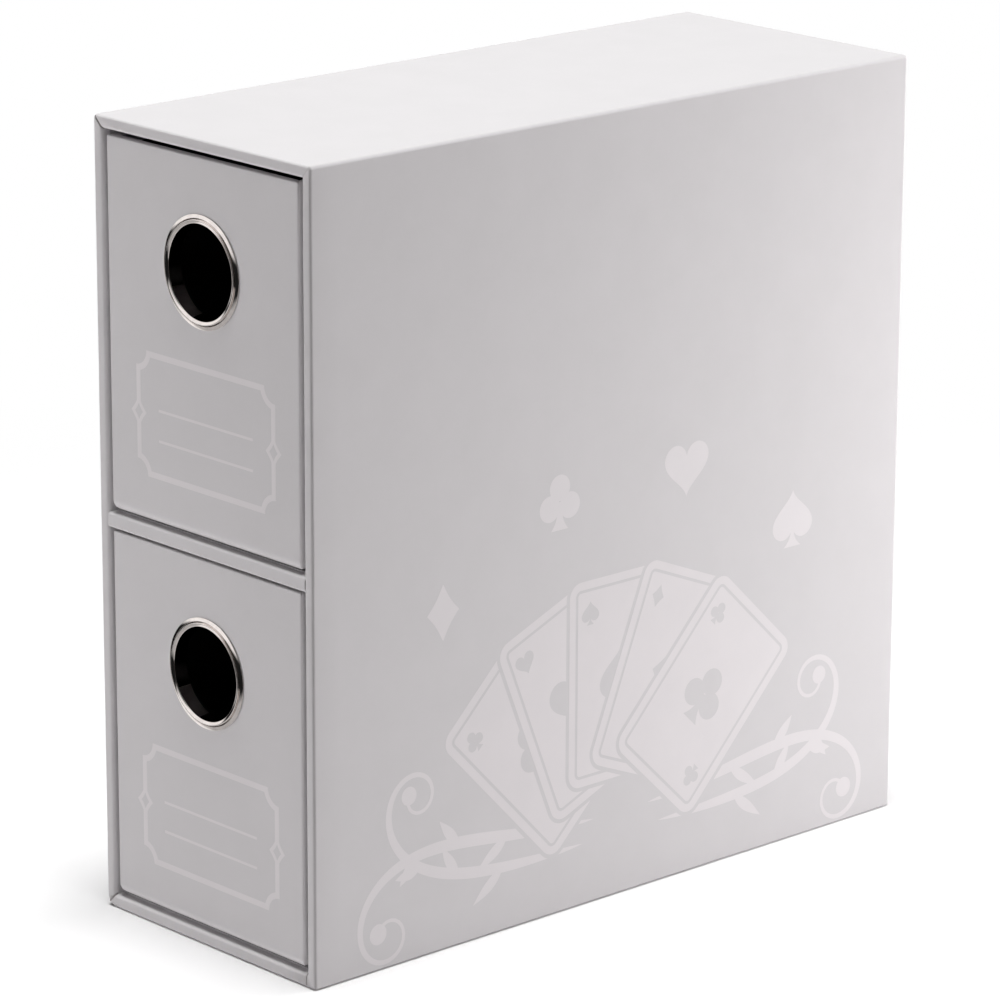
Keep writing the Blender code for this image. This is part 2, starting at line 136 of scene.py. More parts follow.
# Washer and the ring's clinched end, whose places are depths behind the drawer's front
WASHER_BORE = 0.0129
WASHER_RADIUS = 0.0159
WASHER_METAL = 0.0005
WASHER_SEAT = DRAWER_WALL + 2 * LINING_GAP + LINING_PAPER
WASHER_BACK = WASHER_SEAT + WASHER_METAL
WASHER_FOLD = 0.00006
WASHER_OUTER_FOLD = 0.00015
WASHER_BEAD = (WASHER_BORE + WASHER_RADIUS) / 2 + 0.0003
WASHER_BEAD_RISE = 0.00022
WASHER_BEAD_HALF_WIDTH = 0.0005
WASHER_BEAD_FOOT_FOLD = 0.0002
WASHER_BEAD_CREST_FOLD = 0.0003
RING_CLINCH = 0.0141
RING_CLINCH_METAL = 0.0004
RING_CLINCH_FRONT = WASHER_BACK + LINING_GAP
RING_CLINCH_BACK = RING_CLINCH_FRONT + RING_CLINCH_METAL
RING_CLINCH_FOLD = 0.00016
RING_CLINCH_EDGE_FOLD = 0.00006

# Printed ink
INK_RISE = 0.00002
LABEL_DROP = 0.0407
LABEL_SHIFT = 0.0007
LABEL_WIDTH = 0.0545
LABEL_HEIGHT = 0.0330
LABEL_SCOOP = 0.0042
LABEL_LINE = 0.0016
WRITING_LINE = 0.0007

# Printed ornament in millimetres and degrees, on the case's side from its lower front corner
PRINT_TOLERANCE = 0.0005
LABEL_DIAMOND = 8.4
LABEL_DIAMOND_HOLE = 4.4
WRITING_HALF_LENGTH = 18.5
WRITING_HEIGHTS = (1.6, -6.4)
FAN_MIDDLE = 106.0
FAN_PIVOT_HEIGHT = 17.0
FAN_FIRST_ANGLE = 44
FAN_STEP_ANGLE = 22
FAN_SUITS = ("club", "heart", "spade", "diamond", "club")
CARD_REACH = 16.0
CARD_WIDTH = 38.0
CARD_HEIGHT = 56.0
CARD_CORNER = 4.0
CARD_GAP = 1.1
CARD_FRAME_INSET = 2.2
CARD_FRAME_LINE = 0.8
CARD_PIP_SHARE = 0.42
INDEX_PIP_SIZE = 6.2
INDEX_PIP_FROM_END = 9.0
INDEX_PIP_FROM_SIDE = 7.4
LOOSE_PIPS = ((42, "diamond"), (14, "club"), (-14, "heart"), (-42, "spade"))
LOOSE_PIP_ARC = 94
LOOSE_PIP_RISE = 4
LOOSE_PIP_SIZE = 15.0

# Scrolls: start, heading in radians, length, first and last bend, how late it bends, width, ball
UPPER_SCROLL = ((FAN_MIDDLE - 10, 23.2), math.pi * 0.99, 126, -0.004, 0.26, 3.2, 5.0, 2.8)
LOWER_SCROLL = ((FAN_MIDDLE - 14, 17.2), math.pi * 1.01, 116, -0.003, -0.30, 3.4, 4.6, 2.5)
SCROLL_TIP_WIDTH = 0.9
SCROLL_LEAST_WIDTH = 0.05
SCROLL_SWELL = 0.8
SCROLL_THINNING = 1.02

# Leaves of a scroll: where along it, length and side. Their lean is in radians
SCROLL_LEAVES = ((0.24, 13, 1), (0.38, 10, -1), (0.50, 8.5, 1))
LEAF_WIDTH = 3.6
LEAF_SWELL = 0.8
LEAF_UNDERSIDE = 0.7
LEAF_LEAN = 0.75

# Pips one unit tall, and their stems' foot, height and waist
SPADE_LEAF_SIZE = 0.94
SPADE_RISE = 0.10
SPADE_STEM = (0.21, 0.40, 0.03)
CLUB_LOBE = 0.235
CLUB_LOBE_PLACES = ((0, 0.25), (-0.235, -0.09), (0.235, -0.09))
CLUB_STEM = (0.20, 0.50, 0.045)
DIAMOND_HALF_WIDTH = 0.36
DIAMOND_DRAW_IN = 0.10
HEART_CURVE_HEIGHT = 30
HEART_CURVE_LIFT = 2.5

# Mesh steps
FOLD_STEPS = 8
SUPPORT = 0.00025
STATION_SPAN = 0.008
LEAST_FOLD = 0.00008
LEAST_STEP = 0.00001
SKIN_DEPTH = 0.0004
SHARP_EDGE = math.radians(35)
QUADRANTS = ((1, 1), (-1, 1), (-1, -1), (1, -1))
MM = 0.001


# Shapes drawn as paths

def bent_path(corners):
    """Points (across, along, fold) of an open path, with an arc at each corner that has a radius."""
    points = []
    last = len(corners) - 1
    for index, (across, along, radius) in enumerate(corners):
        here = Vector((across, along))
        if radius == 0 or index in (0, last):
            points.append((across, along, 0.0))
            continue
        back = (Vector(corners[index - 1][:2]) - here).normalized()
        ahead = (Vector(corners[index + 1][:2]) - here).normalized()
        half_angle = back.angle(ahead) / 2
        centre = here + (back + ahead).normalized() * (radius / math.sin(half_angle))
        start = here + back * (radius / math.tan(half_angle)) - centre
        end = here + ahead * (radius / math.tan(half_angle)) - centre
        sweep = start.angle_signed(end)
        for step in range(FOLD_STEPS + 1):
            spoke = Matrix.Rotation(-sweep * step / FOLD_STEPS, 2) @ start
            fold = math.sin(math.pi * step / FOLD_STEPS)
            points.append((centre.x + spoke.x, centre.y + spoke.y, fold))
    return points


def closed_path(corners):
    """A closed path with an arc at each corner that has a radius."""
    return bent_path(corners + corners[:1])[:-1]


def with_stations(points, span=STATION_SPAN):
    """The same path with extra points beside its folds and along its flats."""
    full = [points[0]]
    for before, after in zip(points, points[1:]):
        reach = Vector(after[:2]) - Vector(before[:2])
        length = reach.length
        if length > 3 * SUPPORT:
            count = max(1, round((length - 2 * SUPPORT) / span))
            places = [SUPPORT + (length - 2 * SUPPORT) * step / count for step in range(count + 1)]
            for place in places:
                spot = Vector(before[:2]) + reach * (place / length)
                full.append((spot.x, spot.y, 0.0))
        full.append(after)
    return full


def path_normals(points, side):
    """Unit normals of an open path, on the side where the board lies."""
    normals = []
    count = len(points)
    for index in range(count):
        before = Vector(points[max(index - 1, 0)][:2])
        after = Vector(points[min(index + 1, count - 1)][:2])
        tangent = (after - before).normalized()
        normals.append(Vector((-tangent.y, tangent.x)) * side)
    return normals


def sheet_path(points, thickness, side):
    """The outer and inner skins of a sheet that follows a path."""
    normals = path_normals(points, side)
    outer = list(points)
    inner = [(across + normal.x * thickness, along + normal.y * thickness, fold)
             for (across, along, fold), normal in zip(points, normals)]
    return outer, inner


class Plan:
    """A rectangle with rounded corners, with the same number of points at every inset."""

    def __init__(self, width, height, near, side_steps):
        self.width = width
        self.height = height
        self.near = near
        self.side_steps = side_steps

    def points(self, inset, folds):
        """Points (across, up, fold) round the rectangle, drawn in by an inset."""
        half_width = self.width / 2 - inset
        half_height = self.height / 2 - inset
        arcs = []
        for quarter, (side_x, side_y) in enumerate(QUADRANTS):
            radius = max(folds[quarter] - inset, LEAST_FOLD)
            arc = []
            for step in range(FOLD_STEPS + 1):
                angle = (quarter + step / FOLD_STEPS) * math.pi / 2
                arc.append(((half_width - radius) * side_x + radius * math.cos(angle),
                            (half_height - radius) * side_y + radius * math.sin(angle),
                            math.sin(math.pi * step / FOLD_STEPS)))
            arcs.append((arc, inset + radius))
        ring = []
        for quarter in range(4):
            arc, start_loss = arcs[quarter]
            following, end_loss = arcs[(quarter + 1) % 4]
            ring.extend(arc)
            ring.extend(self.side_points(quarter, arc[-1], following[0], start_loss, end_loss))
        return ring

    def side_points(self, quarter, start, end, start_loss, end_loss):
        """Points along one straight side, close together near its ends."""
        near_start, near_end = self.near[quarter]
        start_point = Vector(start[:2])
        end_point = Vector(end[:2])
        along = (end_point - start_point).normalized()
        length = (end_point - start_point).length
        first = [place_from_corner(place, start_loss, index)
                 for index, place in enumerate(near_start)]
        final = [length - place_from_corner(place, end_loss, index)
                 for index, place in enumerate(near_end)][::-1]
        count = self.side_steps[quarter]
        between = [first[-1] + (final[0] - first[-1]) * step / count for step in range(1, count)]
        spots = []
        for place in first + between + final:
            spot = start_point + along * place
            spots.append((spot.x, spot.y, 0.0))
        return spots


def place_from_corner(place, loss, index):
    """A place beside a corner, kept in order where the corner's fold reaches past it."""
    kind, distance = place
    if kind == "fold":
        return distance
    return max(distance - loss, (index + 1) * LEAST_STEP)


NEAR_FOLD = tuple(("fold", distance) for distance in (0.0001, 0.0002, 0.00035, 0.0005))


# Meshes

def new_object(name, data):
    """An object in the scene, made of a mesh, a light or a camera."""
    thing = bpy.data.objects.new(name, data)
    bpy.context.collection.objects.link(thing)
    return thing


def mesh_object(name, mesh_data):
    """An object that holds a finished mesh."""
    mesh = bpy.data.meshes.new(name)
    mesh_data.to_mesh(mesh)
    mesh_data.free()
    return new_object(name, mesh)


def smooth(piece):
    """Shade a piece smooth, with its real edges kept sharp."""
    piece.data.shade_smooth()
    piece.data.set_sharp_from_angle(angle=SHARP_EDGE)


def new_piece(name, mesh_data, finish, body, stands_for=None):
    """A named piece with its finish, which rides on its body."""
    bmesh.ops.recalc_face_normals(mesh_data, faces=mesh_data.faces)
    piece = mesh_object(name, mesh_data)
    smooth(piece)
    piece.data.materials.append(finish)
    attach(piece, body)
    if stands_for:
        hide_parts(stands_for)
    return piece


def start_mesh():
    """An empty mesh whose points can say where they are folded and how much dust and painted shade
    darken them.
    """
    mesh_data = bmesh.new()
    layers = {name: mesh_data.verts.layers.float.new(name) for name in ("fold", "dust_and_painted_shade")}
    return mesh_data, layers


def seam_weight(spot, seams):
    """How deep a point lies in the nearest of the seams, and how strongly dust and painted shade
    darken it there.
    """
    deepest = 0.0
    strongest = 0.0
    for start, end, half_width, depth in seams:
        start = Vector(start)
        end = Vector(end)
        share = max(0.0, min(1.0, (spot - start).dot(end - start) / (end - start).length_squared))
        away = (spot - start.lerp(end, share)).length / half_width
        if away < 1:
            weight = (1 - away * away) ** 2
            deepest = max(deepest, depth * weight)
            strongest = max(strongest, weight * min(1.0, depth / MITRE_DEPTH))
    return deepest, strongest


def mitres(half_width, half_height, wall, seam_half_width, corners):
    """Seams across the corners of a rim, each as its start, end, half width and depth."""
    return [((side_x * half_width, side_y * half_height),
             (side_x * (half_width - wall), side_y * (half_height - wall)), seam_half_width, depth)
            for side_x, side_y, depth in corners]


def wander(across, up, unevenness):
    """A small smooth unevenness, the same in every run."""
    place_in_noise, length, height = unevenness
    return noise.noise(Vector((across, up, place_in_noise)) / length) * height


def skin_loops(mesh_data, layers, plan, skin, place, shape):
    """Loops of points for one skin of a folded sheet."""
    loops = []
    for inset, along, path_fold in skin:
        loop = []
        for across, up, plan_fold in plan.points(inset, shape.folds(along)):
            across, up, along_here, dust_and_painted_shade = shape.settle(across, up, along, inset)
            vertex = mesh_data.verts.new(place(across, up, along_here))
            vertex[layers["fold"]] = max(path_fold, plan_fold if inset < SKIN_DEPTH else 0.0)
            vertex[layers["dust_and_painted_shade"]] = dust_and_painted_shade
            loop.append(vertex)
        loops.append(loop)
    return loops


def bridge(mesh_data, lower, upper, closed=True):
    """Faces between two rows of points."""
    count = len(lower)
    for index in range(count if closed else count - 1):
        after = (index + 1) % count
        mesh_data.faces.new((lower[index], lower[after], upper[after], upper[index]))


def folded_sheet(plan, outer, inner, place, shape, capped):
    """A sheet folded round a rectangular body, closed across its start if it has a bottom."""
    mesh_data, layers = start_mesh()
    outside = skin_loops(mesh_data, layers, plan, outer, place, shape)
    inside = skin_loops(mesh_data, layers, plan, inner, place, shape)
    for skin in (outside, inside):
        for lower, upper in zip(skin, skin[1:]):
            bridge(mesh_data, lower, upper)
    bridge(mesh_data, outside[-1], inside[-1])
    if capped:
        mesh_data.faces.new(outside[0])
        mesh_data.faces.new(inside[0])
    else:
        bridge(mesh_data, outside[0], inside[0])
    return mesh_data


class CaseShape:
    """How the case's wrap departs from plain folds: seams on the rim, one blunted corner, and painted
    shade along the right front edge.
    """

    def __init__(self, width, height):
        self.front = CASE_LOW.y
        self.edge = width / 2
        half_height = height / 2
        seam_x = self.edge - BUTT_FROM_EDGE
        mitred = ((-1, 1, MITRE_DEPTH), (1, 1, FAINT_MITRE_DEPTH), (-1, -1, MITRE_DEPTH))
        self.seams = mitres(self.edge, half_height, CASE_WALL, MITRE_HALF_WIDTH, mitred)
        self.seams.append(((seam_x, -half_height), (seam_x, CASE_WALL - half_height),
                           BUTT_HALF_WIDTH, MITRE_DEPTH))

    def folds(self, along):
        """Corner radii at one depth, the lower left one blunter near the front."""
        share = max(0.0, min(1.0, 1 - (along - self.front) / BLUNT_CORNER_REACH))
        share = share * share * (3 - 2 * share)
        blunt = CASE_EDGE_FOLD + (BLUNT_CORNER_FOLD - CASE_EDGE_FOLD) * share
        return (CASE_EDGE_FOLD, CASE_EDGE_FOLD, blunt, CREASED_EDGE_FOLD)

    def settle(self, across, up, along, inset):
        """Where a point comes to lie, and how much dust and painted shade darken it in the seams and
        along the right front edge.
        """
        depth = 0.0
        dust_and_painted_shade = 0.0
        if along < self.front + CASE_MOUTH_FOLD and inset < CASE_WALL + CASE_PAPER:
            depth, dust_and_painted_shade = seam_weight(Vector((across, up)), self.seams)
            depth += abs(wander(across, up, CASE_RIM_UNEVEN))
            near_front = max(0.0, 1 - (along - self.front) / CASE_MOUTH_FOLD)
            # Painted shade on the right front edge, fading away from the edge and from the front
            near_edge = max(0.0, 1 - (self.edge - across) / PAINTED_EDGE_SHADE_REACH)
            depth *= near_front
            dust_and_painted_shade = max(dust_and_painted_shade, PAINTED_EDGE_SHADE * near_edge * near_front)
        return across, up, along + depth, dust_and_painted_shade


class DrawerShape:
    """How a drawer's wrap departs from plain folds: mitred rim corners and lapped sides."""

    def __init__(self, width, depth, rim):
        self.rim = rim
        self.half_width = width / 2
        self.half_depth = depth / 2
        mitred = [(side_x, side_y, DRAWER_MITRE_DEPTH) for side_x, side_y in QUADRANTS]
        self.seams = mitres(self.half_width, self.half_depth, DRAWER_WALL,
                            DRAWER_MITRE_HALF_WIDTH, mitred)

    def folds(self, along):
        """Corner radii, the same at every height."""
        return (DRAWER_EDGE_FOLD,) * 4

    def settle(self, across, up, along, inset):
        """Where a point comes to lie, and how much dust and painted shade darken it in the mitres."""
        depth = 0.0
        dust_and_painted_shade = 0.0
        if along > self.rim - 2 * DRAWER_RIM_FOLD:
            depth, dust_and_painted_shade = seam_weight(Vector((across, up)), self.seams)
            depth += abs(wander(across, up, DRAWER_RIM_UNEVEN))
        lapped = self.half_depth - abs(up) > DRAWER_LAP and inset < DRAWER_PAPER
        if lapped and abs(across) > self.half_width - inset - DRAWER_LAP_STEP:
            across -= math.copysign(DRAWER_LAP_STEP, across)
        return across, up, along - depth, dust_and_painted_shade


class PlainShape:
    """A sheet with nothing but its folds and a slightly uneven trimmed edge."""

    def __init__(self, fold, top):
        self.fold = fold
        self.top = top

    def folds(self, along):
        """Corner radii, the same at every height."""
        return (self.fold,) * 4

    def settle(self, across, up, along, inset):
        """Where a point comes to lie."""
        if along > self.top - SUPPORT / 2:
            along += wander(across, up, LINING_TRIM_UNEVEN)
        return across, up, along, 0.0


# The case

def make_case_cover(finish):
    """The wrap of the case, with its folded rim, its seams and its turned-in edges."""
    width = CASE_HIGH.x - CASE_LOW.x
    height = CASE_HIGH.z - CASE_LOW.z
    middle = (CASE_HIGH.z + CASE_LOW.z) / 2
    front = CASE_LOW.y
    back = CASE_HIGH.y
    path = with_stations(bent_path([
        (BACK_TURN_IN, back, 0),
        (0, back, CASE_EDGE_FOLD),
        (0, front, CASE_RIM_FOLD),
        (CASE_WALL, front, CASE_MOUTH_FOLD),
        (CASE_WALL, front + CASE_TURN_IN, 0),
    ]))
    outer, inner = sheet_path(path, CASE_PAPER, 1)
    butt = tuple(("corner", BUTT_FROM_EDGE + offset) for offset in BUTT_STATIONS)
    plain = (NEAR_FOLD, NEAR_FOLD)
    plan = Plan(width, height, (plain, plain, (NEAR_FOLD, butt), plain), CASE_SIDE_STEPS)
    mesh_data = folded_sheet(plan, outer, inner, lambda across, up, along:
                             (across, along, middle + up), CaseShape(width, height), False)
    new_piece("case_cover", mesh_data, finish, "case", "case_wrap")


def make_base_sheet(finish):
    """The sheet glued under the case, trimmed close to its edges but short of the blunt corner."""
    low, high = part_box("case_base_sheet")
    low = Vector((low.x, low.y - BASE_SHEET_REACH, low.z))
    high = Vector((high.x + BASE_SHEET_REACH, high.y + BASE_SHEET_REACH, high.z + BASE_SHEET_GLUE))
    middle = (low + high) / 2
    outline = rounded_outline(high.x - low.x, high.y - low.y, BASE_SHEET_CORNER)
    mesh_data = bmesh.new()
    faces = [[mesh_data.verts.new((middle.x + across, middle.y + along, height))
              for across, along in outline] for height in (low.z, high.z)]
    bridge(mesh_data, *faces)
    for face in faces:
        mesh_data.faces.new(face)
    new_piece("case_base_paper", mesh_data, finish, "case", "case_base_sheet")


def make_shelf_strip(finish):
    """The strip folded round the shelf's front edge, curled away from the wall at one end."""
    path = with_stations(bent_path([
        (SHELF_HIGH.y, SHELF_LOW.z, 0),
        (SHELF_LOW.y, SHELF_LOW.z, SHELF_NOSE_FOLD),
        (SHELF_LOW.y, SHELF_HIGH.z, SHELF_NOSE_FOLD),
        (SHELF_HIGH.y, SHELF_HIGH.z, 0),
    ]), SHELF_STATION_SPAN)
    outer, inner = sheet_path(path, CASE_PAPER, -1)
    middle = (SHELF_LOW.z + SHELF_HIGH.z) / 2
    half_height = (SHELF_HIGH.z - SHELF_LOW.z) / 2
    length = SHELF_HIGH.x - SHELF_LOW.x
    mesh_data, layers = start_mesh()
    rows = []
    for step in range(SHELF_STATIONS + 1):
        share = step / SHELF_STATIONS
        row = []
        for y, z, fold in outer + inner[::-1]:
            x = SHELF_LOW.x + length * share
            off_middle = min(1.0, abs(z - middle) / half_height)
            near_front = max(0.0, 1 - (y - SHELF_LOW.y) / SHELF_NOSE_REACH)
            if step == 0:
                x -= SHELF_END_OVERLAP * near_front
            if step == SHELF_STATIONS:
                x += (SHELF_END_OVERLAP - SHELF_END_CURL * (1 - off_middle ** 2) ** 2) * near_front
            nudge = wander(x, z, SHELF_UNEVEN) * near_front
            vertex = mesh_data.verts.new((x, y + abs(nudge), z))
            end_wear = SHELF_END_WEAR * near_front if step in (0, SHELF_STATIONS) else 0
            vertex[layers["fold"]] = max(fold, end_wear)
            row.append(vertex)
        rows.append(row)
    for before, after in zip(rows, rows[1:]):
        bridge(mesh_data, before, after)
    half = len(outer)
    for row in (rows[0], rows[-1]):
        bridge(mesh_data, row[:half], row[half:][::-1], closed=False)
    new_piece("case_shelf_strip", mesh_data, finish, "case", "case_shelf_wrap")


# The drawers

class Drawer:
    """Where one packed drawer and its ring lie."""

    def __init__(self, body):
        self.body = body
        self.low, self.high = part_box(body + "_wrap")
        ring_low, ring_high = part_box(body + "_finger_ring")
        self.ring = (ring_low + ring_high) / 2
        self.width = self.high.x - self.low.x
        self.depth = self.high.y - self.low.y
        self.middle = (self.high.y + self.low.y) / 2

    def plan(self):
        """Plan with stations close to each lap and corner."""
        lap = tuple(("corner", DRAWER_LAP + offset) for offset in DRAWER_LAP_STATIONS)
        side = NEAR_FOLD + lap
        near = ((NEAR_FOLD, NEAR_FOLD), (side, side), (NEAR_FOLD, NEAR_FOLD), (side, side))
        return Plan(self.width, self.depth, near, DRAWER_SIDE_STEPS)


def bore_hole(piece, drawer):
    """Cut the finger hole through a piece at its drawer's front, and keep the cut mesh."""
    mesh_data = bmesh.new()
    place = Matrix.Translation((0, drawer.low.y, drawer.ring.z))
    turn = place @ Matrix.Rotation(math.pi / 2, 4, "X")
    bmesh.ops.create_cone(mesh_data, cap_ends=True, segments=TURNING_STEPS, radius1=RING_HOLE,
                          radius2=RING_HOLE, depth=4 * DRAWER_WALL, matrix=turn)
    cutter = mesh_object("finger_hole", mesh_data)
    modifier = piece.modifiers.new("finger_hole", "BOOLEAN")
    modifier.object = cutter
    modifier.operation = "DIFFERENCE"
    modifier.solver = "EXACT"
    bpy.context.view_layer.update()
    solved = piece.evaluated_get(bpy.context.evaluated_depsgraph_get())
    cut_mesh = bpy.data.meshes.new_from_object(solved)
    piece.modifiers.clear()
    piece.data = cut_mesh
    smooth(piece)
    bpy.data.objects.remove(cutter, do_unlink=True)


def make_drawer_sheet(drawer, kind, stands_for, corners, paper, shape, finish):
    """A sheet folded up round a drawer's floor, with the finger hole cut through its front."""
    body = drawer.body
    outer, inner = sheet_path(with_stations(bent_path(corners)), paper, -1)
    mesh_data = folded_sheet(drawer.plan(), outer, inner, lambda across, up, along:
                             (across, drawer.middle + up, along), shape, True)
    sheet = new_piece(body + kind, mesh_data, finish, body, body + stands_for)
    bore_hole(sheet, drawer)


def make_drawer_cover(drawer, finish):
    """The pale wrap of one drawer, with a rolled foot, lapped sides and a mitred rim."""
    rim = drawer.high.z + DRAWER_RIM_RISE[drawer.body]
    corners = [
        (BASE_CAP_INSET, drawer.low.z, 0),
        (0, drawer.low.z, DRAWER_FOOT_FOLD),
        (0, rim, DRAWER_RIM_FOLD),
        (DRAWER_WALL, rim, DRAWER_RIM_FOLD),
        (DRAWER_WALL, rim - DRAWER_TURN_IN, 0),
    ]
    shape = DrawerShape(drawer.width, drawer.depth, rim)
    make_drawer_sheet(drawer, "_cover", "_wrap", corners, DRAWER_PAPER, shape, finish)


def make_drawer_lining(drawer, finish):
    """The black paper inside one drawer, with softly bridged corners and a hand-trimmed top."""
    floor = drawer.low.z + LINING_FLOOR
    wall = DRAWER_WALL + LINING_GAP
    top = drawer.high.z - LINING_DROP
    corners = [
        (BASE_CAP_INSET, floor + LINING_PAPER, 0),
        (wall + LINING_PAPER, floor + LINING_PAPER, LINING_CORNER_FOLD),
        (wall + LINING_PAPER, top, 0),
    ]
    shape = PlainShape(wall + LINING_PAPER + LINING_CORNER_FOLD, top)
    make_drawer_sheet(drawer, "_black_lining", "_lining", corners, LINING_PAPER, shape, finish)


def make_turned_piece(drawer, kind, stands_for, profile, finish):
    """A closed profile of (radius, height) turned about the axis of a drawer's ring."""
    mesh_data, _ = start_mesh()
    centre = drawer.ring
    front = drawer.low.y
    outline = closed_path(profile)
    rings = []
    for step in range(TURNING_STEPS):
        angle = 2 * math.pi * step / TURNING_STEPS
        rings.append([mesh_data.verts.new((centre.x + radius * math.cos(angle), front - height,
                                           centre.z + radius * math.sin(angle)))
                      for radius, height, _ in outline])
    for here, beyond in zip(rings, rings[1:] + rings[:1]):
        bridge(mesh_data, here, beyond)
    body = drawer.body
    new_piece(body + kind, mesh_data, finish, body, body + stands_for)


def make_finger_ring(drawer, finish):
    """The plated ring: rolled inner bead, groove, sloping flange, barrel and clinched end."""
    make_turned_piece(drawer, "_plated_ring", "_finger_ring", [
        (RING_BARREL, RING_SEAT, 0),
        (RING_FLANGE - RING_SEAT_INSET, RING_SEAT, RING_SEAT_FOLD),
        (RING_FLANGE, RING_FLANGE_EDGE, RING_FLANGE_FOLD),
        (RING_GROOVE_OUTER + RING_CREST_SLOPE, RING_CREST_HEIGHT, RING_CREST_FOLD),
        (RING_GROOVE_OUTER, RING_GROOVE_HEIGHT, RING_GROOVE_FOLD),
        (RING_BEAD_OUTER, RING_GROOVE_HEIGHT, RING_GROOVE_FOLD),
        (RING_BEAD_OUTER, RING_BEAD_HEIGHT, RING_BEAD_FOLD),
        (RING_BORE, RING_THROAT_HEIGHT, RING_THROAT_FOLD),
        (RING_BORE, -RING_CLINCH_BACK, RING_CLINCH_METAL),
        (RING_CLINCH, -RING_CLINCH_BACK, RING_CLINCH_FOLD),
        (RING_CLINCH, -RING_CLINCH_FRONT, RING_CLINCH_EDGE_FOLD),
        (RING_BARREL, -RING_CLINCH_FRONT, 0),
    ], finish)


def make_ring_washer(drawer, finish):
    """The pressed washer behind the front, with a low stiffening bead."""
    make_turned_piece(drawer, "_pressed_washer", "_ring_washer", [
        (WASHER_BORE, -WASHER_SEAT, WASHER_FOLD),
        (WASHER_BORE, -WASHER_BACK, WASHER_FOLD),
        (WASHER_BEAD - WASHER_BEAD_HALF_WIDTH, -WASHER_BACK, WASHER_BEAD_FOOT_FOLD),
        (WASHER_BEAD, -WASHER_BACK - WASHER_BEAD_RISE, WASHER_BEAD_CREST_FOLD),
        (WASHER_BEAD + WASHER_BEAD_HALF_WIDTH, -WASHER_BACK, WASHER_BEAD_FOOT_FOLD),
        (WASHER_RADIUS, -WASHER_BACK, WASHER_OUTER_FOLD),
        (WASHER_RADIUS, -WASHER_SEAT, WASHER_FOLD),
    ], finish)


# Outlines, drawn flat

def turned_outline(outline, centre, angle=0.0, scale=1.0):
    """An outline scaled, turned and put in its place."""
    cosine = math.cos(angle) * scale
    sine = math.sin(angle) * scale
    return [(centre[0] + x * cosine - y * sine, centre[1] + x * sine + y * cosine)
            for x, y in outline]


def rounded_outline(width, height, corner, grow=0.0):
    """A rectangle with round corners about its centre, grown or shrunk all round."""
    radius = corner + grow
    reach_x = width / 2 - corner
    reach_y = height / 2 - corner
    outline = []
    for quarter, (side_x, side_y) in enumerate(QUADRANTS):
        for step in range(FOLD_STEPS + 1):
            angle = (quarter + step / FOLD_STEPS) * math.pi / 2
            outline.append((side_x * reach_x + radius * math.cos(angle),
                            side_y * reach_y + radius * math.sin(angle)))
    return outline


def disc(radius, steps=32):
    """A round dot."""
    angles = [2 * math.pi * step / steps for step in range(steps)]
    return [(radius * math.cos(angle), radius * math.sin(angle)) for angle in angles]


# Printed ornament, drawn in millimetres

def heart_outline(steps=56):
    """The heart pip, about one unit tall, by the usual heart curve."""
    outline = []
    for step in range(steps):
        turn = 2 * math.pi * step / steps
        x = 16 * math.sin(turn) ** 3
        y = (13 * math.cos(turn) - 5 * math.cos(2 * turn) - 2 * math.cos(3 * turn)
             - math.cos(4 * turn))
        outline.append((x / HEART_CURVE_HEIGHT, (y + HEART_CURVE_LIFT) / HEART_CURVE_HEIGHT))
    return outline


def stem_outline(foot, height, waist, steps=8):
    """The flared stem under a spade or a club."""
    right = []
    for step in range(steps + 1):
        share = step / steps
        right.append((waist + (foot - waist) * share ** 3, -height * share))
    left = [(-x, y) for x, y in right]
    return left + right[::-1]


def diamond_outline(steps=12):
    """The diamond pip, with sides that draw in a little."""
    corners = ((DIAMOND_HALF_WIDTH, 0), (0, 0.5), (-DIAMOND_HALF_WIDTH, 0), (0, -0.5))
    outline = []
    for index, start in enumerate(corners):
        end = corners[(index + 1) % 4]
        for step in range(steps):
            share = step / steps
            draw = 1 - DIAMOND_DRAW_IN * math.sin(math.pi * share)
            outline.append(((start[0] + (end[0] - start[0]) * share) * draw,
                            (start[1] + (end[1] - start[1]) * share) * draw))
    return outline


def pip(suit, centre, size, angle, inked):
    """The shapes of one pip, in painting order."""
    if suit == "heart":
        outlines = [heart_outline()]
    elif suit == "diamond":
        outlines = [diamond_outline()]
    elif suit == "spade":
        leaf = [(x * SPADE_LEAF_SIZE, SPADE_RISE - y * SPADE_LEAF_SIZE) for x, y in heart_outline()]
        outlines = [leaf, [(x, y - SPADE_RISE) for x, y in stem_outline(*SPADE_STEM)]]
    else:
        lobes = [turned_outline(disc(CLUB_LOBE), spot) for spot in CLUB_LOBE_PLACES]
        outlines = lobes + [stem_outline(*CLUB_STEM)]
    return [(turned_outline(outline, centre, angle, size), inked) for outline in outlines]


def printed_card(angle, suit):
    """One card of the fan: a knocked-out gap, the card, its frame line and its pips."""
    up = Vector((-math.sin(angle), math.cos(angle)))
    right = Vector((math.cos(angle), math.sin(angle)))
    middle = Vector((FAN_MIDDLE, FAN_PIVOT_HEIGHT)) + up * (CARD_REACH + CARD_HEIGHT / 2)
    shapes = []
    for grow, inked in ((CARD_GAP, False), (0.0, True), (-CARD_FRAME_INSET, False),
                        (-CARD_FRAME_INSET - CARD_FRAME_LINE, True)):
        outline = rounded_outline(CARD_WIDTH, CARD_HEIGHT, CARD_CORNER, grow)
        shapes.append((turned_outline(outline, middle, angle), inked))
    shapes += pip(suit, middle, CARD_PIP_SHARE * CARD_WIDTH, angle, False)
    for side in (-1, 1):
        spot = (middle + up * (side * (CARD_HEIGHT / 2 - INDEX_PIP_FROM_END))
                - right * (side * (CARD_WIDTH / 2 - INDEX_PIP_FROM_SIDE)))
        shapes += pip(suit, spot, INDEX_PIP_SIZE, angle + (0 if side > 0 else math.pi), False)
    return shapes


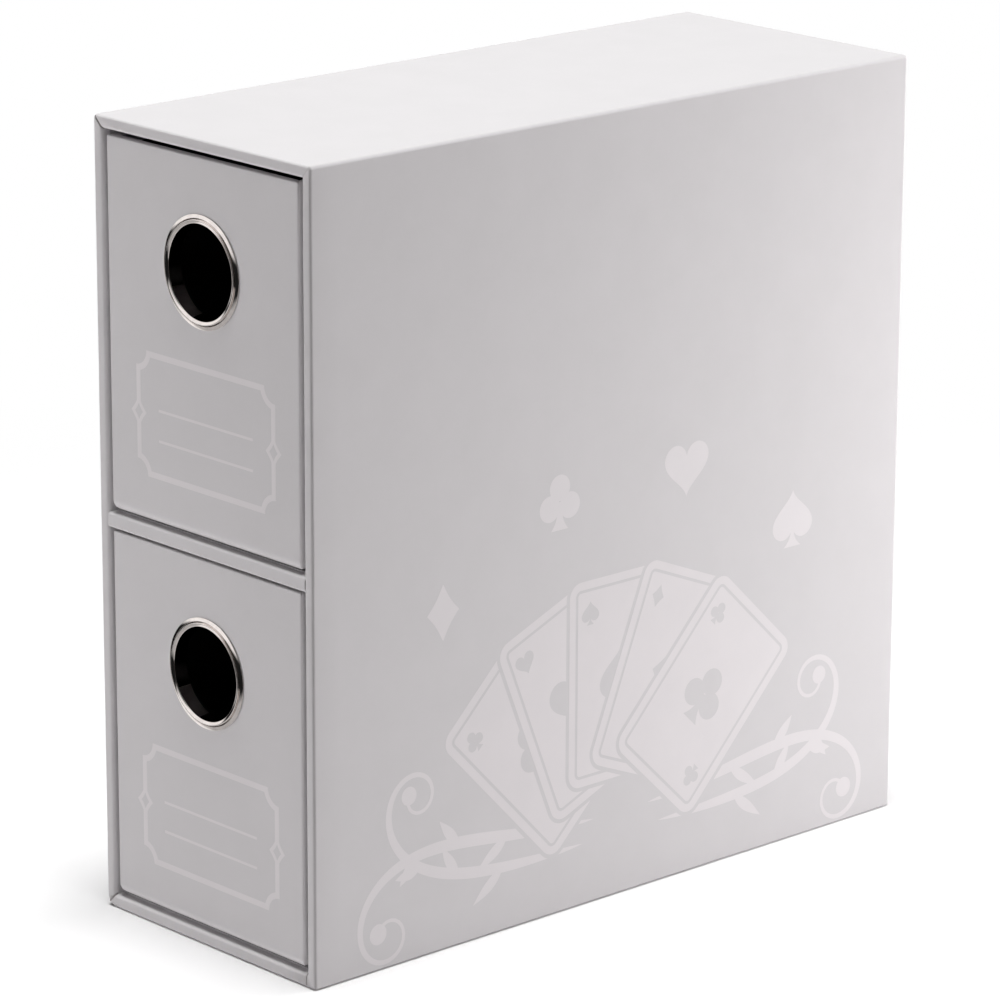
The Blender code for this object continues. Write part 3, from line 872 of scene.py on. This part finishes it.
def scroll_line(start, heading, length, first_bend, last_bend, power, steps=90):
    """The middle line of a scroll, whose bend grows along it."""
    spot = Vector(start)
    line = [spot.copy()]
    step_length = length / steps
    for step in range(steps):
        share = (step + 0.5) / steps
        heading += (first_bend + (last_bend - first_bend) * share ** power) * step_length
        spot = spot + Vector((math.cos(heading), math.sin(heading))) * step_length
        line.append(spot.copy())
    return line


def ribbon(line, widest, end_width):
    """The outline of a stroke that starts in a point, swells and thins again."""
    left = []
    right = []
    last = len(line) - 1
    for index, spot in enumerate(line):
        ahead = (line[min(index + 1, last)] - line[max(index - 1, 0)]).normalized()
        share = index / last
        swell = math.sin(math.pi * min(1.0, share * SCROLL_THINNING)) ** SCROLL_SWELL
        half = (widest * swell * (1 - share) + end_width * share + SCROLL_LEAST_WIDTH) / 2
        side = Vector((-ahead.y, ahead.x)) * half
        left.append(tuple(spot + side))
        right.append(tuple(spot - side))
    return left + right[::-1]


def leaf_outline(length, width, steps=20):
    """A pointed leaf that grows from its base along +X."""
    top = [(length * step / steps, width / 2 * math.sin(math.pi * (step / steps) ** LEAF_SWELL))
           for step in range(steps + 1)]
    return top + [(x, -y * LEAF_UNDERSIDE) for x, y in top[-2:0:-1]]


def mirrored(shapes, middle):
    """The same shapes on the other side of an upright line."""
    return [([(2 * middle - x, y) for x, y in outline][::-1], inked) for outline, inked in shapes]


def scroll_shapes(start, heading, length, first_bend, last_bend, power, widest, ball):
    """A scroll with a ball at its end and leaves along its back."""
    line = scroll_line(start, heading, length, first_bend, last_bend, power)
    shapes = [(ribbon(line, widest, SCROLL_TIP_WIDTH), True)]
    shapes.append((turned_outline(disc(ball), line[-1]), True))
    for share, leaf_length, side in SCROLL_LEAVES:
        index = round(share * (len(line) - 1))
        ahead = line[index + 1] - line[index]
        angle = math.atan2(ahead.y, ahead.x) + side * LEAF_LEAN
        leaf = leaf_outline(leaf_length, LEAF_WIDTH)
        shapes.append((turned_outline(leaf, line[index], angle), True))
    return shapes


def card_fan_shapes():
    """A fan of five cards between scrolls, under a row of four pips."""
    sprays = scroll_shapes(*UPPER_SCROLL) + scroll_shapes(*LOWER_SCROLL)
    shapes = sprays + mirrored(sprays, FAN_MIDDLE)
    for index, suit in enumerate(FAN_SUITS):
        shapes += printed_card(math.radians(FAN_FIRST_ANGLE - FAN_STEP_ANGLE * index), suit)
    for turn, suit in LOOSE_PIPS:
        angle = math.radians(turn)
        spot = (FAN_MIDDLE - math.sin(angle) * LOOSE_PIP_ARC,
                FAN_PIVOT_HEIGHT + LOOSE_PIP_RISE + math.cos(angle) * LOOSE_PIP_ARC)
        shapes += pip(suit, spot, LOOSE_PIP_SIZE, 0, True)
    return shapes


def plaque_outline(inset):
    """A label frame with scooped corners, drawn in by an inset."""
    half_width = LABEL_WIDTH / 2 / MM
    half_height = LABEL_HEIGHT / 2 / MM
    scoop = LABEL_SCOOP / MM + inset
    edge = math.asin(inset / scoop)
    outline = []
    for quarter, (side_x, side_y) in enumerate(QUADRANTS):
        start = math.pi * (1.5 + quarter / 2) - edge
        sweep = -(math.pi / 2 - 2 * edge)
        for step in range(FOLD_STEPS + 1):
            angle = start + sweep * step / FOLD_STEPS
            outline.append((side_x * half_width + scoop * math.cos(angle),
                            side_y * half_height + scoop * math.sin(angle)))
    return outline


def label_shapes():
    """A plain label: a scooped frame, a diamond on each side and two lines to write on."""
    line = LABEL_LINE / MM
    half_width = LABEL_WIDTH / 2 / MM
    shapes = [(plaque_outline(0.0), True), (plaque_outline(line), False)]
    for side in (-1, 1):
        spot = (side * (half_width - line / 2), 0)
        shapes += [(turned_outline(diamond_outline(), spot, 0, LABEL_DIAMOND), True),
                   (turned_outline(diamond_outline(), spot, 0, LABEL_DIAMOND_HOLE), False)]
    rule = WRITING_LINE / MM / 2
    half = WRITING_HALF_LENGTH
    for height in WRITING_HEIGHTS:
        shapes.append(([(-half, height - rule), (half, height - rule), (half, height + rule),
                        (-half, height + rule)], True))
    return shapes


def signed_area(outline):
    """Twice the area inside an outline, positive if it runs to the left."""
    return sum(here[0] * after[1] - after[0] * here[1]
               for here, after in zip(outline, outline[1:] + outline[:1]))


def printed_film(name, shapes, place, finish, body):
    """Ink on a flat face. The shapes come in painting order, inked or knocked out."""
    points = []
    loops = []
    for outline, _ in shapes:
        if signed_area(outline) < 0:
            outline = outline[::-1]
        loops.append(list(range(len(points), len(points) + len(outline))))
        points.extend(Vector(spot) for spot in outline)
    spots, _, faces, _, _, owners = geometry.delaunay_2d_cdt(
        points, [], loops, 1, PRINT_TOLERANCE)
    mesh_data = bmesh.new()
    corners = [mesh_data.verts.new(place(spot.x * MM, spot.y * MM, -INK_RISE)) for spot in spots]
    for face, owner in zip(faces, owners):
        if owner and shapes[max(owner)][1]:
            mesh_data.faces.new([corners[index] for index in face])
    loose = [vertex for vertex in mesh_data.verts if not vertex.link_faces]
    bmesh.ops.delete(mesh_data, geom=loose, context="VERTS")
    pulled = bmesh.ops.extrude_face_region(mesh_data, geom=list(mesh_data.faces))
    lifted = [item for item in pulled["geom"] if isinstance(item, bmesh.types.BMVert)]
    lift = Vector(place(0, 0, INK_RISE)) - Vector(place(0, 0, -INK_RISE))
    bmesh.ops.translate(mesh_data, vec=lift, verts=lifted)
    new_piece(name, mesh_data, finish, body)


# Finishes

# Colour of the dust and painted shade in the seams and on the case's right front edge
DUST_AND_PAINTED_SHADE = (0.22, 0.20, 0.20)
# How much of the lighter colour of rubbing and painted highlight shows on folds
RUBBED_AND_HIGHLIGHT_SHARE = 0.5
RUBBED_ROUGHNESS = 0.08
SHEET_BUMP = 0.5


def add_node(tree, kind, **settings):
    """A shader node with some of its settings."""
    node = tree.nodes.new("ShaderNode" + kind)
    for setting, value in settings.items():
        setattr(node, setting, value)
    return node


def feed(tree, source, target):
    """Join an output to an input, or write a plain value on it, opaque if it is a colour."""
    if isinstance(source, bpy.types.NodeSocket):
        tree.links.new(source, target)
    elif target.type == "RGBA":
        target.default_value = (*source, 1.0)
    else:
        target.default_value = source


def feed_all(tree, sources, targets):
    """Feed several inputs in turn."""
    for source, target in zip(sources, targets):
        feed(tree, source, target)


def calculate(tree, operation, first, second, clamp=False):
    """The result of one sum."""
    node = add_node(tree, "Math", operation=operation, use_clamp=clamp)
    feed_all(tree, (first, second), node.inputs)
    return node.outputs[0]


def blend_colours(tree, amount, first, second):
    """One colour turning into another."""
    node = add_node(tree, "Mix", data_type="RGBA")
    feed(tree, amount, node.inputs["Factor"])
    feed_all(tree, (first, second), node.inputs[6:8])
    return node.outputs[2]


def blend_values(tree, amount, first, second):
    """One value turning into another."""
    node = add_node(tree, "Mix", data_type="FLOAT")
    feed(tree, amount, node.inputs["Factor"])
    feed_all(tree, (first, second), node.inputs[2:4])
    return node.outputs[0]


def blend_shaders(tree, amount, first, second):
    """One shader turning into another."""
    node = add_node(tree, "MixShader")
    feed_all(tree, (amount, first, second), node.inputs)
    return node.outputs[0]


def spread(tree, value, low, high, new_low=0.0, new_high=1.0):
    """A value moved from one range to another."""
    node = add_node(tree, "MapRange")
    feed_all(tree, (value, low, high, new_low, new_high), node.inputs)
    return node.outputs[0]


def noise_value(tree, place, scale, detail, roughness):
    """Soft noise at one scale."""
    node = add_node(tree, "TexNoise")
    feed(tree, place, node.inputs["Vector"])
    feed(tree, scale, node.inputs["Scale"])
    feed(tree, detail, node.inputs["Detail"])
    feed(tree, roughness, node.inputs["Roughness"])
    return node.outputs["Fac"]


def stretched(tree, place, scale):
    """Coordinates stretched along the axes."""
    node = add_node(tree, "Mapping")
    feed(tree, place, node.inputs["Vector"])
    feed(tree, scale, node.inputs["Scale"])
    return node.outputs["Vector"]


def new_effect(name, inputs, outputs):
    """A shared effect as a node group with named inputs and outputs."""
    tree = bpy.data.node_groups.new(name, "ShaderNodeTree")
    for label, kind, value in inputs:
        socket = tree.interface.new_socket(label, in_out="INPUT", socket_type="NodeSocket" + kind)
        if value is not None:
            socket.default_value = value
    for label in outputs:
        tree.interface.new_socket(label, in_out="OUTPUT", socket_type="NodeSocketFloat")
    entry = tree.nodes.new("NodeGroupInput")
    leave = tree.nodes.new("NodeGroupOutput")
    return tree, entry.outputs, leave.inputs


def sheet_grain_effect():
    """Fine tooth, soft mottling and slow waviness of a glued paper sheet."""
    tree, given, result = new_effect("sheet_grain", [
        ("Place", "Vector", None),
        ("Tooth Scale", "Float", 2600.0),
        ("Tooth Height", "Float", 0.35),
        ("Mottle Scale", "Float", 90.0),
        ("Wave Scale", "Float", 22.0),
    ], ["Mottle", "Tooth", "Height"])
    place = given["Place"]
    tooth = noise_value(tree, place, given["Tooth Scale"], detail=3.0, roughness=0.6)
    mottle = noise_value(tree, place, given["Mottle Scale"], detail=4.0, roughness=0.6)
    wave = noise_value(tree, place, given["Wave Scale"], detail=1.0, roughness=0.4)
    tooth_height = calculate(tree, "MULTIPLY", tooth, given["Tooth Height"])
    feed(tree, mottle, result["Mottle"])
    feed(tree, tooth, result["Tooth"])
    feed(tree, calculate(tree, "ADD", tooth_height, wave), result["Height"])
    return tree


def fold_wear_and_painted_light_effect():
    """Where folds are lighter with rubbing and painted highlight, where seams are darker with dust
    and painted shade, and where the case's right front edge is darker with painted shade, read from
    the meshes.
    """
    tree, given, result = new_effect("fold_wear_and_painted_light", [
        ("Place", "Vector", None),
        ("Patch Scale", "Float", 240.0),
    ], ["Rubbed", "Seam"])
    fold = add_node(tree, "Attribute", attribute_name="fold").outputs["Fac"]
    dust_and_painted_shade = add_node(tree, "Attribute", attribute_name="dust_and_painted_shade").outputs["Fac"]
    patches = noise_value(tree, given["Place"], given["Patch Scale"], detail=4.0, roughness=0.7)
    patches = spread(tree, patches, 0.42, 0.68, new_low=0.15)
    # Folds, in patches, take a lighter colour of rubbing and painted highlight; seams and the case's
    # right front edge take dust and painted shade
    feed(tree, calculate(tree, "MULTIPLY", fold, patches, clamp=True), result["Rubbed"])
    feed(tree, calculate(tree, "MULTIPLY", dust_and_painted_shade, 1.0, clamp=True), result["Seam"])
    return tree


def place_effect(tree, effect, values):
    """An effect placed in a material with its own values."""
    node = add_node(tree, "Group", node_tree=effect)
    for label, value in values.items():
        feed(tree, value, node.inputs[label])
    return node.outputs


def new_material(name, preview):
    """A material with its shader, and the object's own coordinates to lay the finish in."""
    material = bpy.data.materials.new(name)
    material.use_nodes = True
    material.diffuse_color = (*preview, 1.0)
    tree = material.node_tree
    shader = tree.nodes["Principled BSDF"]
    place = add_node(tree, "TexCoord").outputs["Object"]
    return material, tree, shader, place


def bump(tree, shader, height, strength, distance):
    """Fine relief on the shader's normal."""
    node = add_node(tree, "Bump")
    feed(tree, strength, node.inputs["Strength"])
    feed(tree, distance, node.inputs["Distance"])
    feed(tree, height, node.inputs["Height"])
    feed(tree, node.outputs["Normal"], shader.inputs["Normal"])


def sheet_material(effects, name, plain, mottled, rubbed_and_highlight, roughness, relief, specular, grain):
    """Paper: its colour, its lighter tone on folds from rubbing and painted highlight, its darker
    tone from dust and painted shade, and its gloss.
    """
    material, tree, shader, place = new_material(name, plain)
    texture = place_effect(tree, effects["grain"], {"Place": place, **grain})
    wear_and_painted_light = place_effect(tree, effects["wear_and_painted_light"], {"Place": place})
    colour = blend_colours(tree, spread(tree, texture["Mottle"], 0.35, 0.65), plain, mottled)
    # Folds turn lighter with rubbing and painted highlight
    rubbed_and_highlight_share = calculate(tree, "MULTIPLY", wear_and_painted_light["Rubbed"], RUBBED_AND_HIGHLIGHT_SHARE)
    colour = blend_colours(tree, rubbed_and_highlight_share, colour, rubbed_and_highlight)
    # Seams turn darker with dust and painted shade, and the case's right front edge with painted
    # shade
    colour = blend_colours(tree, wear_and_painted_light["Seam"], colour, DUST_AND_PAINTED_SHADE)
    feed(tree, colour, shader.inputs["Base Color"])
    gloss = spread(tree, texture["Tooth"], 0.3, 0.7, *roughness)
    dulled = calculate(tree, "MULTIPLY", wear_and_painted_light["Rubbed"], RUBBED_ROUGHNESS)
    feed(tree, calculate(tree, "ADD", gloss, dulled), shader.inputs["Roughness"])
    feed(tree, specular, shader.inputs["Specular IOR Level"])
    bump(tree, shader, texture["Height"], SHEET_BUMP, relief)
    return material


def greyboard_material(effects):
    """Raw grey board with pale and dark fibres."""
    material, tree, shader, place = new_material("raw_greyboard", (0.30, 0.28, 0.26))
    grain = place_effect(tree, effects["grain"], {"Place": place, "Tooth Scale": 1500.0,
                                                  "Tooth Height": 1.0, "Mottle Scale": 60.0})
    along_board = stretched(tree, place, (1.0, 5.0, 2.0))
    fibres = noise_value(tree, along_board, scale=420.0, detail=5.0, roughness=0.75)
    colour = blend_colours(tree, grain["Mottle"], (0.27, 0.25, 0.23), (0.34, 0.32, 0.30))
    pale_fibres = spread(tree, fibres, 0.56, 0.72, new_high=0.8)
    colour = blend_colours(tree, pale_fibres, colour, (0.46, 0.43, 0.39))
    dark_fibres = spread(tree, fibres, 0.30, 0.40, new_low=0.7, new_high=0.0)
    colour = blend_colours(tree, dark_fibres, colour, (0.12, 0.11, 0.10))
    feed(tree, colour, shader.inputs["Base Color"])
    dullness = spread(tree, fibres, 0.3, 0.7, new_low=0.82, new_high=0.97)
    feed(tree, dullness, shader.inputs["Roughness"])
    bump(tree, shader, grain["Height"], strength=0.8, distance=0.00008)
    return material


def plated_material():
    """Polished plate with faint turning marks and a little haze."""
    material, tree, shader, place = new_material("nickel_plate", (0.75, 0.70, 0.67))
    along_marks = stretched(tree, place, (1.0, 3.0, 1.0))
    haze = noise_value(tree, place, scale=420.0, detail=4.0, roughness=0.65)
    marks = noise_value(tree, along_marks, scale=2200.0, detail=3.0, roughness=0.6)
    colour = blend_colours(tree, spread(tree, haze, 0.4, 0.62),
                           (0.79, 0.735, 0.705), (0.72, 0.665, 0.64))
    feed(tree, colour, shader.inputs["Base Color"])
    feed(tree, 1.0, shader.inputs["Metallic"])
    unevenness = calculate(tree, "ADD", haze, marks)
    dullness = spread(tree, unevenness, 0.7, 1.3, new_low=0.035, new_high=0.09)
    feed(tree, dullness, shader.inputs["Roughness"])
    bump(tree, shader, marks, strength=0.15, distance=0.00001)
    return material


def make_finishes():
    """Every finish of the box, by name."""
    effects = {"grain": sheet_grain_effect(), "wear_and_painted_light": fold_wear_and_painted_light_effect()}
    fine = {"Tooth Scale": 2600.0, "Tooth Height": 0.10, "Mottle Scale": 70.0, "Wave Scale": 26.0}
    matte = {"Tooth Scale": 1800.0, "Tooth Height": 0.3, "Mottle Scale": 50.0, "Wave Scale": 30.0}
    coarse = {"Tooth Scale": 1500.0, "Tooth Height": 0.6, "Mottle Scale": 60.0, "Wave Scale": 24.0}
    return {
        "cover": sheet_material(
            effects, "pale_laminated_paper", plain=(0.694, 0.677, 0.685),
            mottled=(0.680, 0.664, 0.671), rubbed_and_highlight=(0.74, 0.725, 0.73),
            roughness=(0.40, 0.50), relief=0.00004, specular=0.5, grain=fine),
        "ink": sheet_material(
            effects, "pale_print", plain=(0.800, 0.770, 0.780),
            mottled=(0.785, 0.757, 0.767), rubbed_and_highlight=(0.82, 0.80, 0.80),
            roughness=(0.42, 0.52), relief=0.00004, specular=0.5, grain=fine),
        "bay": sheet_material(
            effects, "bay_paper", plain=(0.60, 0.58, 0.60),
            mottled=(0.57, 0.55, 0.57), rubbed_and_highlight=(0.64, 0.62, 0.64),
            roughness=(0.62, 0.74), relief=0.00005, specular=0.4, grain=matte),
        "black": sheet_material(
            effects, "black_lining_paper", plain=(0.021, 0.0205, 0.021),
            mottled=(0.026, 0.025, 0.026), rubbed_and_highlight=(0.06, 0.06, 0.06),
            roughness=(0.55, 0.72), relief=0.00006, specular=0.45, grain=coarse),
        "board": greyboard_material(effects),
        "plate": plated_material(),
    }


def finish_nodes(finishes):
    """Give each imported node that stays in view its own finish."""
    for name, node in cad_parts.items():
        if node.hide_render:
            continue
        if name.endswith("_board"):
            finish = finishes["board"]
        elif name.startswith("case_") and name.endswith("_lining"):
            finish = finishes["bay"]
        else:
            finish = finishes["cover"]
        node.data.materials.clear()
        node.data.materials.append(finish)


# The studio

# Camera, with its lens and sensor in millimetres
CAMERA_PLACE = (0.96186, -0.88752, 0.47730)
CAMERA_AIM = (-0.70757, 0.64995, -0.27733)
CAMERA_ROLL = math.radians(0.2133)
CAMERA_LENS = 184.87
CAMERA_NEAR = 0.05
CAMERA_FAR = 20.0
SENSOR_WIDTH = 36.0

# Soft lights: place, aim, width, height, power in watts and colour
SIDE_LIGHT = (1.0, 0.988, 0.99)
SOFTBOXES = {
    "overhead_softbox": ((0.14, -0.14, 3.0), (0, 0, 0.1), 0.9, 0.9, 92.5, (1.0, 1.0, 1.0)),
    "left_softbox": ((-0.66, -0.66, 0.08), (0, -0.1, 0.08), 0.5, 0.14, 2.9, SIDE_LIGHT),
    "right_back_softbox": ((0.27, 0.40, 0.12), (0.04, 0.05, 0.10), 0.25, 0.20, 1.5, SIDE_LIGHT),
}

# Brightness of what the plate mirrors, and how little of it lights the paper
ROOM_LEVEL = 1.1
UNLIT_LEVEL = 0.03
FAR_TABLE_LEVEL = 0.012
NEAR_TABLE_LEVELS = (1.1, 0.5)
WHITE = (1.0, 1.0, 1.0)
FILL_STRENGTH = 0.01

# Where the surroundings change, as parts of a unit direction
UNLIT_DIRECTION = (0.69, -0.70, 0.18)
UNLIT_EDGE = (0.40, 0.66)
FRONT_EDGE = (0.0, -0.12)
TABLE_EDGE = (0.0, -0.07)
TABLE_DEPTH_EDGE = (-0.28, -0.37)
TABLE_NEAR_EDGE = (-0.36, -0.46)

# The floor: what the camera sees of it, what it gives back, and where it fades to white
FLOOR_REACH = 6.0
FLOOR_SEEN = (0.97, 0.97, 0.97)
FLOOR_BOUNCE = (0.765, 0.748, 0.757)
FLOOR_ROUGHNESS = 0.9
FLOOR_FADE = (0.15, 0.50)


def aimed(place, direction):
    """A place, turned to look along a direction."""
    turn = Vector(direction).to_track_quat("-Z", "Y").to_matrix().to_4x4()
    return Matrix.Translation(place) @ turn


def make_camera():
    """The camera, at the photograph's viewing angle."""
    lens = bpy.data.cameras.new("portrait_camera")
    lens.sensor_width = SENSOR_WIDTH
    lens.lens = CAMERA_LENS
    lens.clip_start = CAMERA_NEAR
    lens.clip_end = CAMERA_FAR
    camera = new_object("portrait_camera", lens)
    camera.matrix_world = aimed(CAMERA_PLACE, CAMERA_AIM) @ Matrix.Rotation(CAMERA_ROLL, 4, "Z")
    bpy.context.scene.camera = camera


def make_softbox(name, place, aim, width, height, power, colour):
    """A rectangular soft light that is neither seen nor mirrored."""
    light = bpy.data.lights.new(name, "AREA")
    light.shape = "RECTANGLE"
    light.size = width
    light.size_y = height
    light.energy = power
    light.color = colour
    softbox = new_object(name, light)
    softbox.visible_camera = False
    softbox.visible_glossy = False
    softbox.matrix_world = aimed(place, Vector(aim) - Vector(place))


def make_lights():
    """Soft light from above, from the left and from behind the right side."""
    for name, settings in SOFTBOXES.items():
        make_softbox(name, *settings)


def background(tree, colour, strength=1.0):
    """Surroundings of one colour or level of light."""
    node = add_node(tree, "Background")
    feed(tree, colour, node.inputs["Color"])
    feed(tree, strength, node.inputs["Strength"])
    return node.outputs[0]


def make_world():
    """White surroundings with an unlit side, where the studio is dark in front and to the right."""
    world = bpy.data.worlds.new("studio_surroundings")
    bpy.context.scene.world = world
    world.use_nodes = True
    tree = world.node_tree
    tree.nodes.clear()
    toward = add_node(tree, "TexCoord").outputs["Generated"]
    parts = add_node(tree, "SeparateXYZ")
    feed(tree, toward, parts.inputs[0])
    _, depth, height = parts.outputs
    in_front = spread(tree, depth, *FRONT_EDGE)
    below = calculate(tree, "MULTIPLY", in_front, spread(tree, height, *TABLE_EDGE))
    near_table = spread(tree, depth, *TABLE_DEPTH_EDGE, *NEAR_TABLE_LEVELS)
    table = blend_values(tree, spread(tree, height, *TABLE_NEAR_EDGE), FAR_TABLE_LEVEL, near_table)
    unlit = add_node(tree, "VectorMath", operation="DOT_PRODUCT")
    feed_all(tree, (toward, UNLIT_DIRECTION), unlit.inputs)
    unlit_side = spread(tree, unlit.outputs["Value"], *UNLIT_EDGE)
    level = blend_values(tree, unlit_side, ROOM_LEVEL, UNLIT_LEVEL)
    level = blend_values(tree, below, level, table)
    path = add_node(tree, "LightPath").outputs
    bounced = calculate(tree, "MAXIMUM", path["Is Glossy Ray"], path["Is Transmission Ray"])
    reflected = blend_shaders(tree, bounced, background(tree, level, FILL_STRENGTH),
                              background(tree, level))
    seen = blend_shaders(tree, path["Is Camera Ray"], reflected, background(tree, WHITE))
    leave = add_node(tree, "OutputWorld")
    feed(tree, seen, leave.inputs["Surface"])


def make_floor():
    """A plain pale floor that keeps the box's shadow and fades to white away from it."""
    mesh_data = bmesh.new()
    bmesh.ops.create_grid(mesh_data, x_segments=4, y_segments=4, size=FLOOR_REACH)
    floor = mesh_object("studio_floor", mesh_data)
    material = bpy.data.materials.new("studio_floor_paint")
    material.use_nodes = True
    tree = material.node_tree
    shader = tree.nodes["Principled BSDF"]
    path = add_node(tree, "LightPath").outputs
    paint = blend_colours(tree, path["Is Camera Ray"], FLOOR_BOUNCE, FLOOR_SEEN)
    feed(tree, paint, shader.inputs["Base Color"])
    feed(tree, FLOOR_ROUGHNESS, shader.inputs["Roughness"])
    feed(tree, 0.0, shader.inputs["Specular IOR Level"])
    glow = add_node(tree, "Emission")
    away = add_node(tree, "VectorMath", operation="LENGTH")
    feed(tree, add_node(tree, "NewGeometry").outputs["Position"], away.inputs[0])
    fade = spread(tree, away.outputs["Value"], *FLOOR_FADE)
    direct = calculate(tree, "MAXIMUM", path["Is Camera Ray"], path["Is Glossy Ray"])
    direct = calculate(tree, "MAXIMUM", direct, path["Is Transmission Ray"])
    faded = calculate(tree, "MULTIPLY", fade, direct)
    surface = blend_shaders(tree, faded, shader.outputs[0], glow.outputs[0])
    feed(tree, surface, tree.nodes["Material Output"].inputs["Surface"])
    floor.data.materials.append(material)
    floor.visible_glossy = False


def make_drawer(body, finishes):
    """One drawer, with its ring and its printed label."""
    drawer = Drawer(body)
    make_drawer_cover(drawer, finishes["cover"])
    make_drawer_lining(drawer, finishes["black"])
    make_finger_ring(drawer, finishes["plate"])
    make_ring_washer(drawer, finishes["plate"])
    label_height = drawer.ring.z - LABEL_DROP
    printed_film(body + "_label_print", label_shapes(), lambda across, up, out:
                 (LABEL_SHIFT + across, drawer.low.y - out, label_height + up), finishes["ink"], body)


def make_box(finishes):
    """The case, its drawers and the print on its side."""
    make_case_cover(finishes["cover"])
    make_base_sheet(finishes["cover"])
    make_shelf_strip(finishes["cover"])
    for body in DRAWERS:
        make_drawer(body, finishes)
    printed_film("case_side_print", card_fan_shapes(), lambda across, up, out:
                 (CASE_HIGH.x + out, CASE_LOW.y + across, up), finishes["ink"], "case")
    finish_nodes(finishes)


def set_view():
    """Colours come out as they are written."""
    bpy.context.scene.view_settings.view_transform = "Standard"


set_view()
make_camera()
make_world()
make_lights()
make_floor()
make_box(make_finishes())
